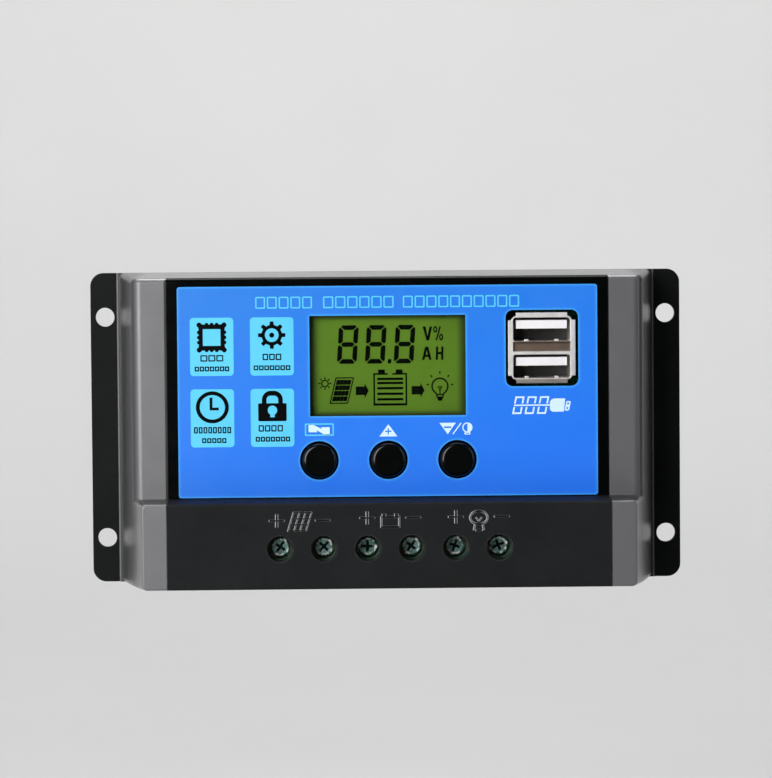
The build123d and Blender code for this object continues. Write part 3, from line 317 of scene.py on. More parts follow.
def label_material():
    """Blue print, more saturated towards the bottom right, with a painted highlight, a cyan glow, along its
    edges.
    """
    shader = Shader("label_blue", Coat_Weight=0.1, Coat_Roughness=0.15, Specular_IOR_Level=0.35)
    across = shader.remap(shader.axis("X"), LABEL_LOW.x, LABEL_HIGH.x, 0.0, 1.0)
    down = shader.remap(shader.axis("Z"), LABEL_HIGH.z, LABEL_LOW.z, 0.0, 1.0)
    slope = shader.math("ADD", shader.math("MULTIPLY", across, 0.3), shader.math("MULTIPLY", down, 0.7))
    blue = shader.ramp(slope, [(0.0, srgb("#247ad9")), (0.45, srgb("#2277e5")), (1.0, srgb("#2073f2"))])
    # Painted highlight: a cyan glow along the label's edges and round its openings.
    glow = shader.edge_wear_and_highlight(LABEL_GLOW * MM)
    shader.colour(shader.mix(glow, blue, srgb("#45acf6")))
    shader.roughness(200.0, 0.28, 0.36)
    shader.bump(shader.noise(3000.0, detail=2.0), 0.000006, strength=0.4)
    return shader.material


def display_material():
    """Green-yellow display ground, brightest in the middle, with painted shade along its edges."""
    shader = Shader("display_glass", roughness=0.45, Specular_IOR_Level=0.2)
    # Painted shade: the display darkens towards its edges.
    lit = None
    spans = (
        ("X", WINDOW_X, WINDOW_HALF_WIDTH, WINDOW_SIDE_FADE),
        ("Z", WINDOW_Z, WINDOW_HALF_HEIGHT, WINDOW_END_FADE),
    )
    for name, centre, half, fade in spans:
        from_centre = shader.math("ABSOLUTE", shader.math("SUBTRACT", shader.axis(name), centre * MM))
        inside = shader.remap(from_centre, half * MM, (half - fade) * MM, 0.0, 1.0, smooth=True)
        lit = inside if lit is None else shader.math("MULTIPLY", lit, inside)
    shader.colour(shader.mix(lit, srgb("#31420e"), shader.mottle(140.0, "#60881c", "#65901e")))
    shader.bump(shader.noise(1200.0), 0.000004, strength=0.3)
    return shader.material


def pane_material():
    """Thin clear acrylic, faintly smoked."""
    shader = Shader("clear_pane", IOR=1.49, Alpha=0.1)
    shader.colour(shader.mottle(30.0, "#10180f", "#161f14"))
    shader.roughness(150.0, 0.03, 0.07)
    shader.bump(shader.noise(40.0), 0.00001, strength=0.05)
    return shader.material


def shell_material():
    """Bright tin plate, with painted shade, darker and brownish, on the web between the ports and on the flap
    at its foot.
    """
    shader = metal("plated_shell", "#efece8", "#fbf9f6", (0.42, 0.52), (1.0, 0.15, 1.0), EDGE_RADIUS)
    # Painted shade, darker and brownish, on the web between the ports and on the flap at the foot.
    masks = []
    for name, centre, half in (("Z", SOCKET_Z + WEB_LIFT, WEB_HALF_HEIGHT), ("X", SOCKET_X, WEB_HALF_WIDTH)):
        away = shader.math("ABSOLUTE", shader.math("SUBTRACT", shader.axis(name), centre * MM))
        masks.append(shader.remap(away, half * MM, (half - WEB_FADE) * MM, 0.0, 1.0))
    plate = shader.principled.inputs["Base Color"].links[0].from_socket
    foot_z = SOCKET_Z - FOOT_FLAP
    foot = shader.remap(shader.axis("Z"), foot_z * MM, (foot_z - FOOT_FADE) * MM, 0.0, 0.75)
    plate = shader.mix(foot, plate, srgb("#75695d"))
    shader.colour(shader.mix(shader.math("MULTIPLY", *masks), plate, srgb("#7b6b5f")))
    return shader.material


def cover_material():
    """Black moulded plastic with a fine matt grain, grey along its edges from wear and from a painted
    highlight.

    The flanks of the raised signs get a painted highlight where they face sideways and painted shade where
    they face up or down.
    """
    look = ("#131516", "#181a1b", (0.56, 0.68), 4200.0, 0.00005, EDGE_RADIUS)
    shader = plastic("cover_black", *look, Specular_IOR_Level=0.14)
    plain = shader.principled.inputs["Base Color"].links[0].from_socket
    # The edges turn grey, partly from wear and partly as a painted highlight.
    edge_patchiness = shader.remap(shader.noise(700.0), 0.35, 0.6, 0.5, 1.0)
    wear_and_painted_light = shader.math("MULTIPLY", shader.edge_wear_and_highlight(EDGE_RADIUS), edge_patchiness)
    rubbed_and_painted_light = shader.mix(wear_and_painted_light, plain, srgb("#8d9091"))
    # Painted highlight on sign flanks that face sideways, painted shade on those that face up or down.
    raised = shader.remap(shader.axis("Y"), -SIGN_OUT[0] * MM, -SIGN_OUT[1] * MM, 0.0, 1.0)
    facing = shader.node("ShaderNodeSeparateXYZ")
    shader.link(shader.node("ShaderNodeNewGeometry").outputs["Normal"], facing.inputs[0])
    sideways = shader.remap(shader.math("ABSOLUTE", facing.outputs["X"]), 0.08, 0.45, 0.0, 0.8)
    upright = shader.remap(shader.math("ABSOLUTE", facing.outputs["Z"]), 0.08, 0.45, 0.0, 1.0)
    rubbed_and_painted_light = shader.mix(shader.math("MULTIPLY", raised, upright), rubbed_and_painted_light, srgb("#070808"))
    shader.colour(shader.mix(shader.math("MULTIPLY", raised, sideways), rubbed_and_painted_light, srgb("#b9bcbd")))
    return shader.material


def screw_material():
    """Greenish zinc plate, with painted shade in the recess and down the head's side and painted highlights
    round its edge.
    """
    shader = metal("zinc_screw", "#5f938a", "#97c4ba", (0.25, 0.34), (1.0, 0.3, 1.0))
    plate = shader.principled.inputs["Base Color"].links[0].from_socket
    # Painted shade in the recess and down the head's side.
    deep = shader.math("ABSOLUTE", shader.math("ADD", shader.axis("Y"), HEAD_DARK_OUT * MM))
    dark = shader.remap(deep, HEAD_DARK_FADE[0] * MM, HEAD_DARK_FADE[1] * MM, 0.0, 1.0)
    # The place within one pitch, found with enough whole pitches added to keep the value above zero.
    pitches = shader.math("DIVIDE", shader.axis("X"), POLE_PITCH * MM)
    share = shader.math("FRACT", shader.math("ADD", pitches, 10.0))
    aside = shader.math("MULTIPLY", shader.math("SUBTRACT", share, 0.5), POLE_PITCH)
    above = shader.math("DIVIDE", shader.math("SUBTRACT", shader.axis("Z"), SCREW_Z * MM), MM)
    squares = shader.math("ADD", shader.math("MULTIPLY", aside, aside), shader.math("MULTIPLY", above, above))
    radius = shader.math("SQRT", squares)
    # A painted highlight at the ends of the slot.
    past_slot = shader.remap(radius, *SLOT_END, 0.0, 1.0)
    slot_end = shader.math("MULTIPLY", past_slot, shader.remap(radius, *HEAD_EDGE, 0.0, 1.0))
    slot_end = shader.math("MULTIPLY", slot_end, dark)
    # A painted highlight ring round the head.
    from_ring = shader.math("ABSOLUTE", shader.math("SUBTRACT", radius, HIGHLIGHT_RING_RADIUS))
    ring = shader.remap(from_ring, *HIGHLIGHT_RING_FADE, 0.0, 1.0)
    patchy = shader.remap(shader.noise(1500.0, detail=1.0), 0.46, 0.56, 0.0, 0.85)
    near_face = shader.math("SUBTRACT", 1.0, dark)
    ring = shader.math("MULTIPLY", shader.math("MULTIPLY", ring, patchy), near_face)
    # All the painted highlights, as bright white that isn't metal.
    bright = shader.math("MAXIMUM", slot_end, shader.math("MAXIMUM", ring, shader.edge_wear_and_highlight(0.00015, 0.6)))
    shader.colour(shader.mix(bright, shader.mix(dark, plate, srgb("#142a25")), srgb("#f6fbf9")))
    shader.link(shader.math("SUBTRACT", 1.0, bright), shader.principled.inputs["Metallic"])
    return shader.material


def board_material():
    """Green solder mask over faint copper tracks."""
    shader = Shader("board_green", roughness=0.35)
    tracks = shader.node("ShaderNodeTexBrick", offset=0.5)
    tracks.inputs["Scale"].default_value = 120.0
    tracks.inputs["Mortar Size"].default_value = 0.03
    tracks.inputs["Color1"].default_value = srgb("#0c4a2c")
    tracks.inputs["Color2"].default_value = srgb("#0e5230")
    tracks.inputs["Mortar"].default_value = srgb("#1b7a48")
    upright = shader.node("ShaderNodeMapping")
    upright.inputs["Rotation"].default_value = (math.pi / 2, 0.0, 0.0)
    shader.link(shader.place, upright.inputs["Vector"])
    shader.link(upright.outputs["Vector"], tracks.inputs["Vector"])
    shader.colour(tracks.outputs["Color"])
    shader.bump(shader.noise(900.0), 0.00002, strength=0.4)
    return shader.material


# Slot: darker and lighter colour, roughness range, grain per metre, relief and edge radius in metres.
PLASTICS = {
    "frame_black": ("#030404", "#060707", (0.16, 0.24), 2500.0, 0.000006, 0.0002),
    "light_guide": ("#9dbb58", "#b2cc70", (0.4, 0.5), 600.0, 0.00001, 0.0),
    "holder_white": ("#d8d8d2", "#e4e4de", (0.4, 0.5), 900.0, 0.00001, 0.0002),
    "switch_black": ("#141516", "#1d1e1f", (0.4, 0.5), 1500.0, 0.00001, 0.0002),
    "key_black": ("#020303", "#050606", (0.1, 0.16), 1200.0, 0.000004, 0.0),
    "socket_black": ("#0c0c0c", "#141414", (0.45, 0.55), 1500.0, 0.00001, 0.0),
    "tongue_white": ("#e2dfe2", "#eceaec", (0.35, 0.45), 900.0, 0.000008, 0.0002),
    "terminal_green": ("#12492a", "#165631", (0.35, 0.45), 1100.0, 0.00001, 0.0002),
    "chip_black": ("#17181a", "#202124", (0.5, 0.6), 1600.0, 0.00002, 0.0001),
    "capacitor_sleeve": ("#101a44", "#16225a", (0.25, 0.35), 700.0, 0.00001, 0.0),
    "ferrite": ("#2c2c2f", "#3a3a3d", (0.6, 0.7), 1100.0, 0.00004, 0.0),
    "resistor_body": ("#151515", "#1f1f1f", (0.4, 0.5), 1500.0, 0.00001, 0.0),
    "pad_rubber": ("#75808a", "#808b96", (0.7, 0.8), 800.0, 0.00003, 0.0),
    "print_cyan": ("#50c3ea", "#56c9ee", (0.3, 0.4), 3000.0, 0.000003, 0.0),
    "print_pale": ("#c9e6fb", "#d3ecfd", (0.3, 0.4), 3000.0, 0.000003, 0.0),
    "print_black": ("#020304", "#040506", (0.3, 0.4), 3000.0, 0.000003, 0.0),
    "display_ink": ("#040803", "#060b04", (0.4, 0.5), 3000.0, 0.000003, 0.0),
}

# Plastics whose specular level isn't the usual one.
SPECULAR_LEVELS = {"frame_black": 0.06, "key_black": 0.3, "print_black": 0.05, "display_ink": 0.0}

# Slot: darker and lighter colour, roughness range, stretch of the lines, edge radius in metres.
METALS = {
    "tinned_metal": ("#a8a8a2", "#c8c8c2", (0.25, 0.4), (1.0, 0.1, 1.0), 0.0),
    "contact_gold": ("#c69536", "#dcb055", (0.2, 0.3), (1.0, 0.1, 1.0), 0.0),
    "black_screw": ("#1c1c1d", "#2a2a2b", (0.3, 0.42), (1.0, 0.3, 1.0), 0.0001),
    "clamp_metal": ("#a6a08c", "#c0baa6", (0.28, 0.4), (0.2, 1.0, 1.0), 0.00015),
}


def make_materials():
    """Every slot's material."""
    made = {
        "plate_paint": plate_material(),
        "case_grey": case_material(),
        "cover_black": cover_material(),
        "label_blue": label_material(),
        "clear_pane": pane_material(),
        "display_glass": display_material(),
        "board_green": board_material(),
        "plated_shell": shell_material(),
        "zinc_screw": screw_material(),
    }
    for slot, look in PLASTICS.items():
        sockets = {"Specular_IOR_Level": SPECULAR_LEVELS[slot]} if slot in SPECULAR_LEVELS else {}
        made[slot] = plastic(slot, *look, **sockets).material
    for slot, look in METALS.items():
        made[slot] = metal(slot, *look).material
    return made


MATERIALS = make_materials()


def dress_nodes():
    """Gives every CAD node the material of its record slot."""
    slots = {entry["node"]: entry["material_slot"] for entry in frame["record"]["subparts"]}
    for name, node in frame["nodes"].items():
        node.data.materials.clear()
        node.data.materials.append(MATERIALS[slots[name]])


dress_nodes()


# ---- Flat outlines in the front view: lists of (x, z) points in millimetres ----

CORNER_STEPS = 5


def arc(x, z, radius, start, end, steps, squash=1.0):
    """Points from one angle to another, in degrees counter-clockwise from +X."""
    angles = [math.radians(start + (end - start) * i / steps) for i in range(steps + 1)]
    return [(x + radius * math.cos(a), z + radius * squash * math.sin(a)) for a in angles]


def disc(x, z, radius, steps=48, squash=1.0):
    return arc(x, z, radius, 0.0, 360.0, steps, squash)[:-1]


def box(x, z, width, height, radius=0.0):
    """A rectangle about its centre, with rounded corners when a radius is given."""
    dx, dz = width / 2 - radius, height / 2 - radius
    if radius == 0.0:
        return [(x + dx, z + dz), (x - dx, z + dz), (x - dx, z - dz), (x + dx, z - dz)]
    points = []
    for quarter, (side, end) in enumerate(((1, 1), (-1, 1), (-1, -1), (1, -1))):
        start = 90.0 * quarter
        points += arc(x + side * dx, z + end * dz, radius, start, start + 90.0, CORNER_STEPS)
    return points


def turned(points, angle):
    """Points turned about the origin by an angle in radians."""
    cosine, sine = math.cos(angle), math.sin(angle)
    return [(x * cosine - z * sine, x * sine + z * cosine) for x, z in points]


def mirrored(points):
    """The same points on the other side of the origin, left for right."""
    return [(-x, z) for x, z in points]


def placed(points, x, z, lean=0.0):
    """Points moved to a place, leaning right by a share of their height."""
    return [(x + px + lean * pz, z + pz) for px, pz in points]


def stroke(start, end, width):
    """A straight line of some width with square ends."""
    (x0, z0), (x1, z1) = start, end
    length = math.hypot(x1 - x0, z1 - z0)
    nx, nz = -(z1 - z0) / length * width / 2, (x1 - x0) / length * width / 2
    return [(x0 + nx, z0 + nz), (x0 - nx, z0 - nz), (x1 - nx, z1 - nz), (x1 + nx, z1 + nz)]


def ray(x, z, angle, near, far, width):
    """A line of some width that points away from a centre, from one radius to another."""
    cosine, sine = math.cos(math.radians(angle)), math.sin(math.radians(angle))
    return stroke((x + near * cosine, z + near * sine), (x + far * cosine, z + far * sine), width)


class Layer:
    """Thin closed slabs in one plane facing the front, such as a print or display segments."""

    def __init__(self, name, back_out, thickness):
        self.name = name
        self.mesh = bmesh.new()
        self.depths = (back_out + thickness, back_out)

    def add(self, outer, *holes):
        """One slab with an outline and any number of holes through it."""
        loops = [outer, *holes]
        flat = [point for loop in loops for point in loop]
        front, back = [
            [self.mesh.verts.new((x * MM, -out * MM, z * MM)) for x, z in flat] for out in self.depths
        ]
        for corners in tessellate_polygon([[Vector((x, z, 0.0)) for x, z in loop] for loop in loops]):
            self.mesh.faces.new([front[i] for i in corners])
            self.mesh.faces.new([back[i] for i in reversed(corners)])
        start = 0
        for loop in loops:
            for i in range(len(loop)):
                a, b = start + i, start + (i + 1) % len(loop)
                self.mesh.faces.new((front[a], front[b], back[b], back[a]))
            start += len(loop)

    def finish(self, slot):
        """Makes the piece, which moves with the controller's body."""
        bmesh.ops.recalc_face_normals(self.mesh, faces=self.mesh.faces)
        data = bpy.data.meshes.new(self.name)
        self.mesh.to_mesh(data)
        self.mesh.free()
        data.materials.append(MATERIALS[slot])
        piece = bpy.data.objects.new(self.name, data)
        bpy.context.scene.collection.objects.link(piece)
        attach(piece, "controller")


# ---- Print on the label ----

# Millimetres. A blank's gap and corner are shares of its height.
PRINT_THICKNESS = 0.02
PRINT_SINK = 0.005
TILE_SIZE = (9.5, 12.7)
TILE_RADIUS = 0.8
TILE_COLUMNS = (LABEL_X - 38.35, LABEL_X - 25.25)
TILE_ROWS = (WINDOW_Z + 4.4, WINDOW_Z - 11.2)
CAPTION_HEIGHTS = (1.4, 1.06)
CAPTION_STROKE = 0.27
BLANK_GAP = 0.15
BLANK_CORNER = 0.12


def print_layer(name, level=0):
    """A print layer on the label; a higher level lies on the one below."""
    return Layer(name, LABEL_OUT - PRINT_SINK + level * PRINT_THICKNESS, PRINT_THICKNESS)


def blank_glyphs(layer, x, z, width, height, count, line):
    """A row of equal empty boxes that stands for a line of lettering."""
    gap = BLANK_GAP * height
    wide = (width - gap * (count - 1)) / count
    for i in range(count):
        centre_x = x + (wide - width) / 2 + i * (wide + gap)
        outer = box(centre_x, z, wide, height, BLANK_CORNER * height)
        layer.add(outer, box(centre_x, z, wide - 2 * line, height - 2 * line))


def chip_icon(layer, x, z):
    """Square chip whose edge is a row of round contacts."""
    corner, corner_radius, lobe, pitch, reach = 2.72, 0.56, 0.45, 1.1, 2.75
    side = arc(corner, -corner, corner_radius, -160.0, 70.0, 12)
    for step in (-1, 0, 1):
        side += arc(reach, step * pitch, lobe, -85.0, 85.0, 8)
    outline = []
    for turn in range(4):
        outline += turned(side, math.radians(90.0 * turn))
    layer.add(placed(outline, x, z), box(x, z, 3.85, 3.65))


def gear_icon(layer, x, z):
    """Eight-tooth gear with a ring and a dot."""
    teeth, root, tip, half, narrowing = 8, 2.2, 2.98, 0.47, 0.8
    tooth = [(root, -half), (tip, -narrowing * half), (tip, narrowing * half), (root, half)]
    outline = []
    for i in range(teeth):
        angle = 2 * math.pi * i / teeth
        outline += turned(tooth, angle)
        degrees = math.degrees(angle)
        outline += arc(0.0, 0.0, root + 0.04, degrees + 15.0, degrees + 30.0, 3)
    layer.add(placed(outline, x, z), disc(x, z, 1.5))
    layer.add(disc(x, z, 0.55, 24))


def clock_icon(layer, x, z):
    """Clock face at three o'clock."""
    layer.add(disc(x, z, 3.6, 64, 0.97), disc(x, z, 2.75, 64, 0.97))
    hands = [(-0.6, 2.12), (-0.6, -0.66), (1.4, -0.66), (1.4, -0.06), (0.03, -0.06), (0.03, 2.12)]
    layer.add(placed(hands, x, z))


def lock_icon(layer, x, z):
    """Closed padlock with a keyhole."""
    body_z, body_top = z - 0.98, z + 0.98
    keyhole = arc(x, body_z + 0.42, 1.03, -62.0, 242.0, 28)
    keyhole += [(x - 0.47, body_z - 1.1), (x + 0.47, body_z - 1.1)]
    layer.add(box(x, body_z, 6.2, 3.92, 0.3), keyhole)
    outer = [(2.28, 0.0)] + arc(0.33, 0.78, 1.95, 0.0, 90.0, 10)
    outer += arc(-0.33, 0.78, 1.95, 90.0, 180.0, 10) + [(-2.28, 0.0)]
    inner = [(-1.28, 0.0)] + arc(-0.38, 0.76, 0.9, 180.0, 90.0, 8)
    inner += arc(0.38, 0.76, 0.9, 90.0, 0.0, 8) + [(1.28, 0.0)]
    layer.add(placed(outer + inner, x, body_top))


# Column, row, picture, its lift above the tile's middle, and each caption's place, width and letter count.
TILES = [
    (0, 0, chip_icon, 2.05, [(0.0, -2.5, 5.0, 3), (0.0, -4.82, 7.5, 7)]),
    (1, 0, gear_icon, 2.45, [(0.0, -2.3, 4.1, 3), (0.0, -4.67, 8.0, 7)]),
    (0, 1, clock_icon, 2.4, [(0.0, -2.6, 8.1, 8), (0.35, -4.87, 5.3, 5)]),
    (1, 1, lock_icon, 2.2, [(-0.4, -2.3, 5.3, 4), (0.05, -4.67, 7.5, 7)]),
]


def make_tiles():
    """Four light tiles, each with a picture and two blank caption lines."""
    ground = print_layer("label_tiles")
    ink = print_layer("label_tile_pictures", 1)
    for column, row, icon, lift, captions in TILES:
        x, z = TILE_COLUMNS[column], TILE_ROWS[row]
        ground.add(box(x, z, *TILE_SIZE, TILE_RADIUS))
        icon(ink, x, z + lift)
        for (dx, dz, width, count), height in zip(captions, CAPTION_HEIGHTS):
            blank_glyphs(ink, x + dx, z + dz, width, height, count, CAPTION_STROKE)
    ground.finish("print_cyan")
    ink.finish("print_black")


HEADING_Z = 28.25
HEADING_HEIGHT = 2.6
HEADING_LINE = 0.3
# Each word's place from the label's middle, width and letter count.
HEADING_WORDS = [(-22.6, 12.4, 5), (-6.3, 15.4, 6), (16.1, 25.4, 10)]


def make_heading():
    """Three blank words along the label's top."""
    layer = print_layer("label_heading")
    for x, width, count in HEADING_WORDS:
        blank_glyphs(layer, LABEL_X + x, HEADING_Z, width, HEADING_HEIGHT, count, HEADING_LINE)
    layer.finish("print_cyan")


SOCKET_MARK_DROP = 12.5
SOCKET_BLANKS_X = (-5.25, -2.55, 0.15)


def make_socket_mark():
    """A cord and a plug under the sockets, with three leaning blanks that the cord crosses."""
    layer = print_layer("label_socket_mark")
    x, z = SOCKET_X, SOCKET_Z - SOCKET_MARK_DROP
    lean, half, top, line, gap = 0.2, 1.0, 1.93, 0.36, 0.38
    bracket = [(half, gap), (half, top), (-half, top), (-half, gap)]
    inner = [(line - half, gap), (line - half, top - line), (half - line, top - line), (half - line, gap)]
    for offset in SOCKET_BLANKS_X:
        for end in (-1, 1):
            shape = [(px, end * pz) for px, pz in bracket + inner]
            layer.add(placed(shape, x + offset, z, lean))
    layer.add(stroke((x - 6.2, z), (x + 1.62, z), 0.3))
    tip_x, tip_z = x + 5.55, z - 0.2
    eyes = [placed(disc(0.0, dz, 0.22, 12), tip_x, tip_z, lean) for dz in (-0.5, 0.5)]
    layer.add(placed(box(0.0, 0.0, 1.0, 2.1, 0.3), tip_x, tip_z, lean), *eyes)
    plug = [(1.75, 1.42)] + arc(-0.6, 0.42, 1.0, 90.0, 180.0, 8)
    plug += arc(-0.85, -0.72, 0.75, 180.0, 270.0, 8) + [(1.45, -1.47)]
    layer.add(placed(plug, x + 3.25, z))
    layer.finish("print_pale")


# How far each sign's middle, or foot and top, lies above the middle of its key.
MENU_SIGN_LIFT = 6.75
UP_SIGN_LIFT = 6.25
UP_SIGN_SPAN = (5.12, 7.8)
DOWN_SIGN_TOP = 8.0
LAMP_SIGN_LIFT = 6.95


def menu_sign(border, layer):
    """A switch in a frame."""
    x, z = middle("menu_button")
    z += MENU_SIGN_LIFT
    border.add(box(x + 0.05, z, 6.35, 2.74, 0.25), box(x + 0.05, z, 5.75, 2.14, 0.1))
    switch = [
        (-2.31, 1.14), (-2.31, -0.55), (-0.42, -0.55), (-0.6, -0.12), (1.32, -1.2),
        (2.3, -1.2), (2.3, 0.52), (0.42, 0.52), (0.6, 0.1), (-1.44, 1.14),
    ]
    layer.add(placed(switch, x + 0.02, z))


def up_sign(layer):
    """A plus in a triangle."""
    x, z = middle("up_button")
    arm, half = 0.68, 0.14
    plus = [
        (half, arm), (-half, arm), (-half, half), (-arm, half), (-arm, -half), (-half, -half),
        (-half, -arm), (half, -arm), (half, -half), (arm, -half), (arm, half), (half, half),
    ]
    foot, top = UP_SIGN_SPAN
    triangle = [(x - 1.95, z + foot), (x + 2.0, z + foot), (x + 0.03, z + top)]
    layer.add(triangle, placed(plus, x, z + UP_SIGN_LIFT))


def down_sign(layer):
    """A minus in a triangle, a slanting line and a lamp whose left half is open."""
    x, z = middle("down_button")
    top, minus_x = z + DOWN_SIGN_TOP, x - 2.1
    triangle = [(x - 3.9, top), (x - 0.3, top), (minus_x, top - 2.5)]
    layer.add(triangle, box(minus_x, top - 0.95, 1.6, 0.34))
    layer.add(stroke((x - 0.98, z + 5.5), (x + 0.86, z + 7.95), 0.24))
    lamp_x, lamp_z, radius = x + 2.2, z + LAMP_SIGN_LIFT, 1.1
    open_half = arc(lamp_x, lamp_z, radius, 90.0, 270.0, 20)
    layer.add(open_half + arc(lamp_x, lamp_z, 0.86, 270.0, 90.0, 20))
    layer.add(arc(lamp_x + 0.03, lamp_z, radius, -90.0, 90.0, 20))
    foot_z = lamp_z - 1.3
    layer.add(box(lamp_x, foot_z, 1.3, 0.5, 0.2), box(lamp_x, foot_z, 0.8, 0.16, 0.06))


def make_key_signs():
    """The signs over the three keys, with a border round the first."""
    border = print_layer("label_key_sign_border")
    layer = print_layer("label_key_signs")
    menu_sign(border, layer)
    up_sign(layer)
    down_sign(layer)
    border.finish("print_cyan")
    layer.finish("print_pale")


# ---- Figures on the display ----

# Millimetres. A lean is a share of the height.
DISPLAY_GAP = 0.01
DISPLAY_OUT = front_out("display_glass") + DISPLAY_GAP
DISPLAY_X = WINDOW_X + 0.04
DISPLAY_Z = WINDOW_Z - 0.08
DIGIT_WIDTH = 4.35
DIGIT_HEIGHT = 8.45
DIGIT_STROKE = 1.04
DIGIT_CORNER = 0.75
DIGIT_GAP = 0.13
DIGIT_LEAN = 0.065
DIGIT_X = (-11.15, -5.03, 1.28)
DIGIT_FOOT_Z = 0.45
UNIT_LEAN = 0.03


def digit_segments():
    """The seven segments of an eight, from the foot's left corner."""
    w, h, t, c, g = DIGIT_WIDTH, DIGIT_HEIGHT, DIGIT_STROKE, DIGIT_CORNER, DIGIT_GAP
    m = h / 2
    top = [
        (c, h), (c / 2 + g / 2, h - c / 2 + g / 2), (t + g, h - t),
        (w - t - g, h - t), (w - c / 2 - g / 2, h - c / 2 + g / 2), (w - c, h),
    ]
    upper = [
        (0.0, h - c), (0.0, m + 0.45), (0.4 * t, m + g),
        (t, m + t / 2 + 0.6 * g), (t, h - t - g), (c / 2 - g / 2, h - c / 2 - g / 2),
    ]
    bar = [
        (0.5 * t + g, m), (t + g, m - t / 2), (w - t - g, m - t / 2),
        (w - 0.5 * t - g, m), (w - t - g, m + t / 2), (t + g, m + t / 2),
    ]
    upper_right = [(w - x, z) for x, z in upper]
    below = [[(x, h - z) for x, z in shape] for shape in (top, upper, upper_right)]
    return [top, upper, bar, upper_right, *below]


def show_digits(layer, x, z):
    """Three digits with every segment lit, and a point."""
    for digit_x in DIGIT_X:
        for segment in digit_segments():
            layer.add(placed(segment, x + digit_x, z + DIGIT_FOOT_Z, DIGIT_LEAN))
    layer.add(placed(box(0.0, 0.5, 0.78, 0.95), x + 0.38, z + DIGIT_FOOT_Z, DIGIT_LEAN))


def show_units(layer, x, z):
    """Unit marks beside the number: volt, per cent, ampere and hour."""
    volt = [
        (-1.05, 1.52), (-0.38, 1.52), (0.02, -0.6), (0.5, 1.52),
        (1.05, 1.52), (0.35, -1.55), (-0.2, -1.55),
    ]
    layer.add(placed(volt, x + 8.75, z + 6.98))
    percent_x, percent_z = x + 11.1, z + 7.0
    layer.add(stroke((percent_x - 0.4, z + 5.45), (percent_x + 0.46, z + 8.5), 0.34))
    for dx, dz in ((-0.62, 0.85), (0.66, -0.85)):
        ring_x, ring_z = percent_x + dx, percent_z + dz
        layer.add(disc(ring_x, ring_z, 0.46, 20, 1.6), disc(ring_x, ring_z, 0.17, 20, 2.2))
    ampere = [
        (-0.32, 1.45), (-1.02, -1.45), (-0.48, -1.45), (-0.32, -0.78),
        (0.38, -0.78), (0.54, -1.45), (1.08, -1.45), (0.36, 1.45),
    ]
    ampere_x, foot_row_z = x + 8.55, z + 2.62
    hole = [(0.02, 0.75), (-0.2, -0.32), (0.24, -0.32)]
    layer.add(placed(ampere, ampere_x, foot_row_z), placed(hole, ampere_x, foot_row_z))
    hour = [
        (-0.82, 1.45), (-0.82, -1.45), (-0.34, -1.45), (-0.34, -0.22), (0.34, -0.22), (0.34, -1.45),
        (0.82, -1.45), (0.82, 1.45), (0.34, 1.45), (0.34, 0.28), (-0.34, 0.28), (-0.34, 1.45),
    ]
    layer.add(placed(hour, x + 11.4, foot_row_z, UNIT_LEAN))


def show_sun(layer, x, z):
    """A ring with eight rays."""
    layer.add(disc(x, z, 0.85, 28), disc(x, z, 0.58, 28))
    for i in range(8):
        layer.add(ray(x, z, 45.0 * i, 0.98, 1.42, 0.29))


def show_panel(layer, x, z):
    """Leaning solar panel of four rows of cells."""
    lean, height, width, line = 0.235, 5.8, 4.1, 0.25
    outer = box(0.0, 0.0, width, height, 0.25)
    inner = box(0.0, 0.0, width - 2 * line, height - 2 * line, 0.12)
    layer.add(placed(outer, x, z, lean), placed(inner, x, z, lean))
    cell_size, pitch = (0.79, 1.07), (0.81, 1.2)
    for row in range(4):
        for column in range(4):
            cell = box((column - 1.5) * pitch[0], (row - 1.5) * pitch[1], *cell_size, 0.12)
            layer.add(placed(cell, x, z, lean))


def show_arrow(layer, x, z):
    """A broad arrow that points right."""
    half, neck, shaft, head = 1.42, 0.53, 0.93, 1.66
    arrow = [
        (-half, shaft), (-half, -shaft), (neck, -shaft), (neck, -head),
        (half, 0.0), (neck, head), (neck, shaft),
    ]
    layer.add(placed(arrow, x, z))


def show_battery(layer, x, z):
    """Battery whose case is open between its posts, with five level bars."""
    half, top, foot, line, foot_line, gap = 3.7, 3.34, -3.78, 0.36, 0.5, 0.5
    case = [
        (-half, foot), (half, foot), (half, top), (gap, top), (gap, top - line), (half - line, top - line),
        (half - line, foot + foot_line), (line - half, foot + foot_line), (line - half, top - line),
        (-gap, top - line), (-gap, top), (-half, top),
    ]
    layer.add(placed(case, x, z))
    for post_x in (-1.9, 1.98):
        layer.add(placed(box(0.0, 0.0, 1.5, 0.8), x + post_x, z + top + 0.39))
    for level in (2.07, 1.17, 0.03, -1.19, -2.4):
        layer.add(placed(box(0.0, level, 5.7, 0.54, 0.08), x, z))


def show_lamp(layer, x, z):
    """Bulb with a filament, a screw base and five rays."""
    radius, line = 1.9, 0.33
    neck = [(0.84, -2.3), (0.88, -1.75)]
    outer = mirrored(neck) + arc(0.0, 0.0, radius, 236.0, -56.0, 40) + neck[::-1]
    inner_neck = [(px - line, pz) for px, pz in neck]
    inner = inner_neck + arc(0.0, 0.0, radius - line, -58.0, 238.0, 40) + mirrored(inner_neck)[::-1]
    layer.add(placed(outer + inner, x, z))
    layer.add(placed(stroke((0.0, -0.75), (0.0, -1.8), 0.26), x, z))
    filament = [(-0.6, -0.02), (0.0, -0.95), (0.6, -0.02)]
    layer.add(placed(filament, x, z), placed([(-0.2, -0.24), (0.0, -0.55), (0.2, -0.24)], x, z))
    layer.add(placed([(-0.88, -1.7), (0.88, -1.7), (0.84, -1.98), (-0.84, -1.98)], x, z))
    layer.add(placed([(-0.8, -2.25), (0.8, -2.25), (0.38, -3.2), (-0.38, -3.2)], x, z))
    for i in range(5):
        layer.add(ray(x, z + 0.35, 45.0 * i, 2.4, 2.92, 0.31))


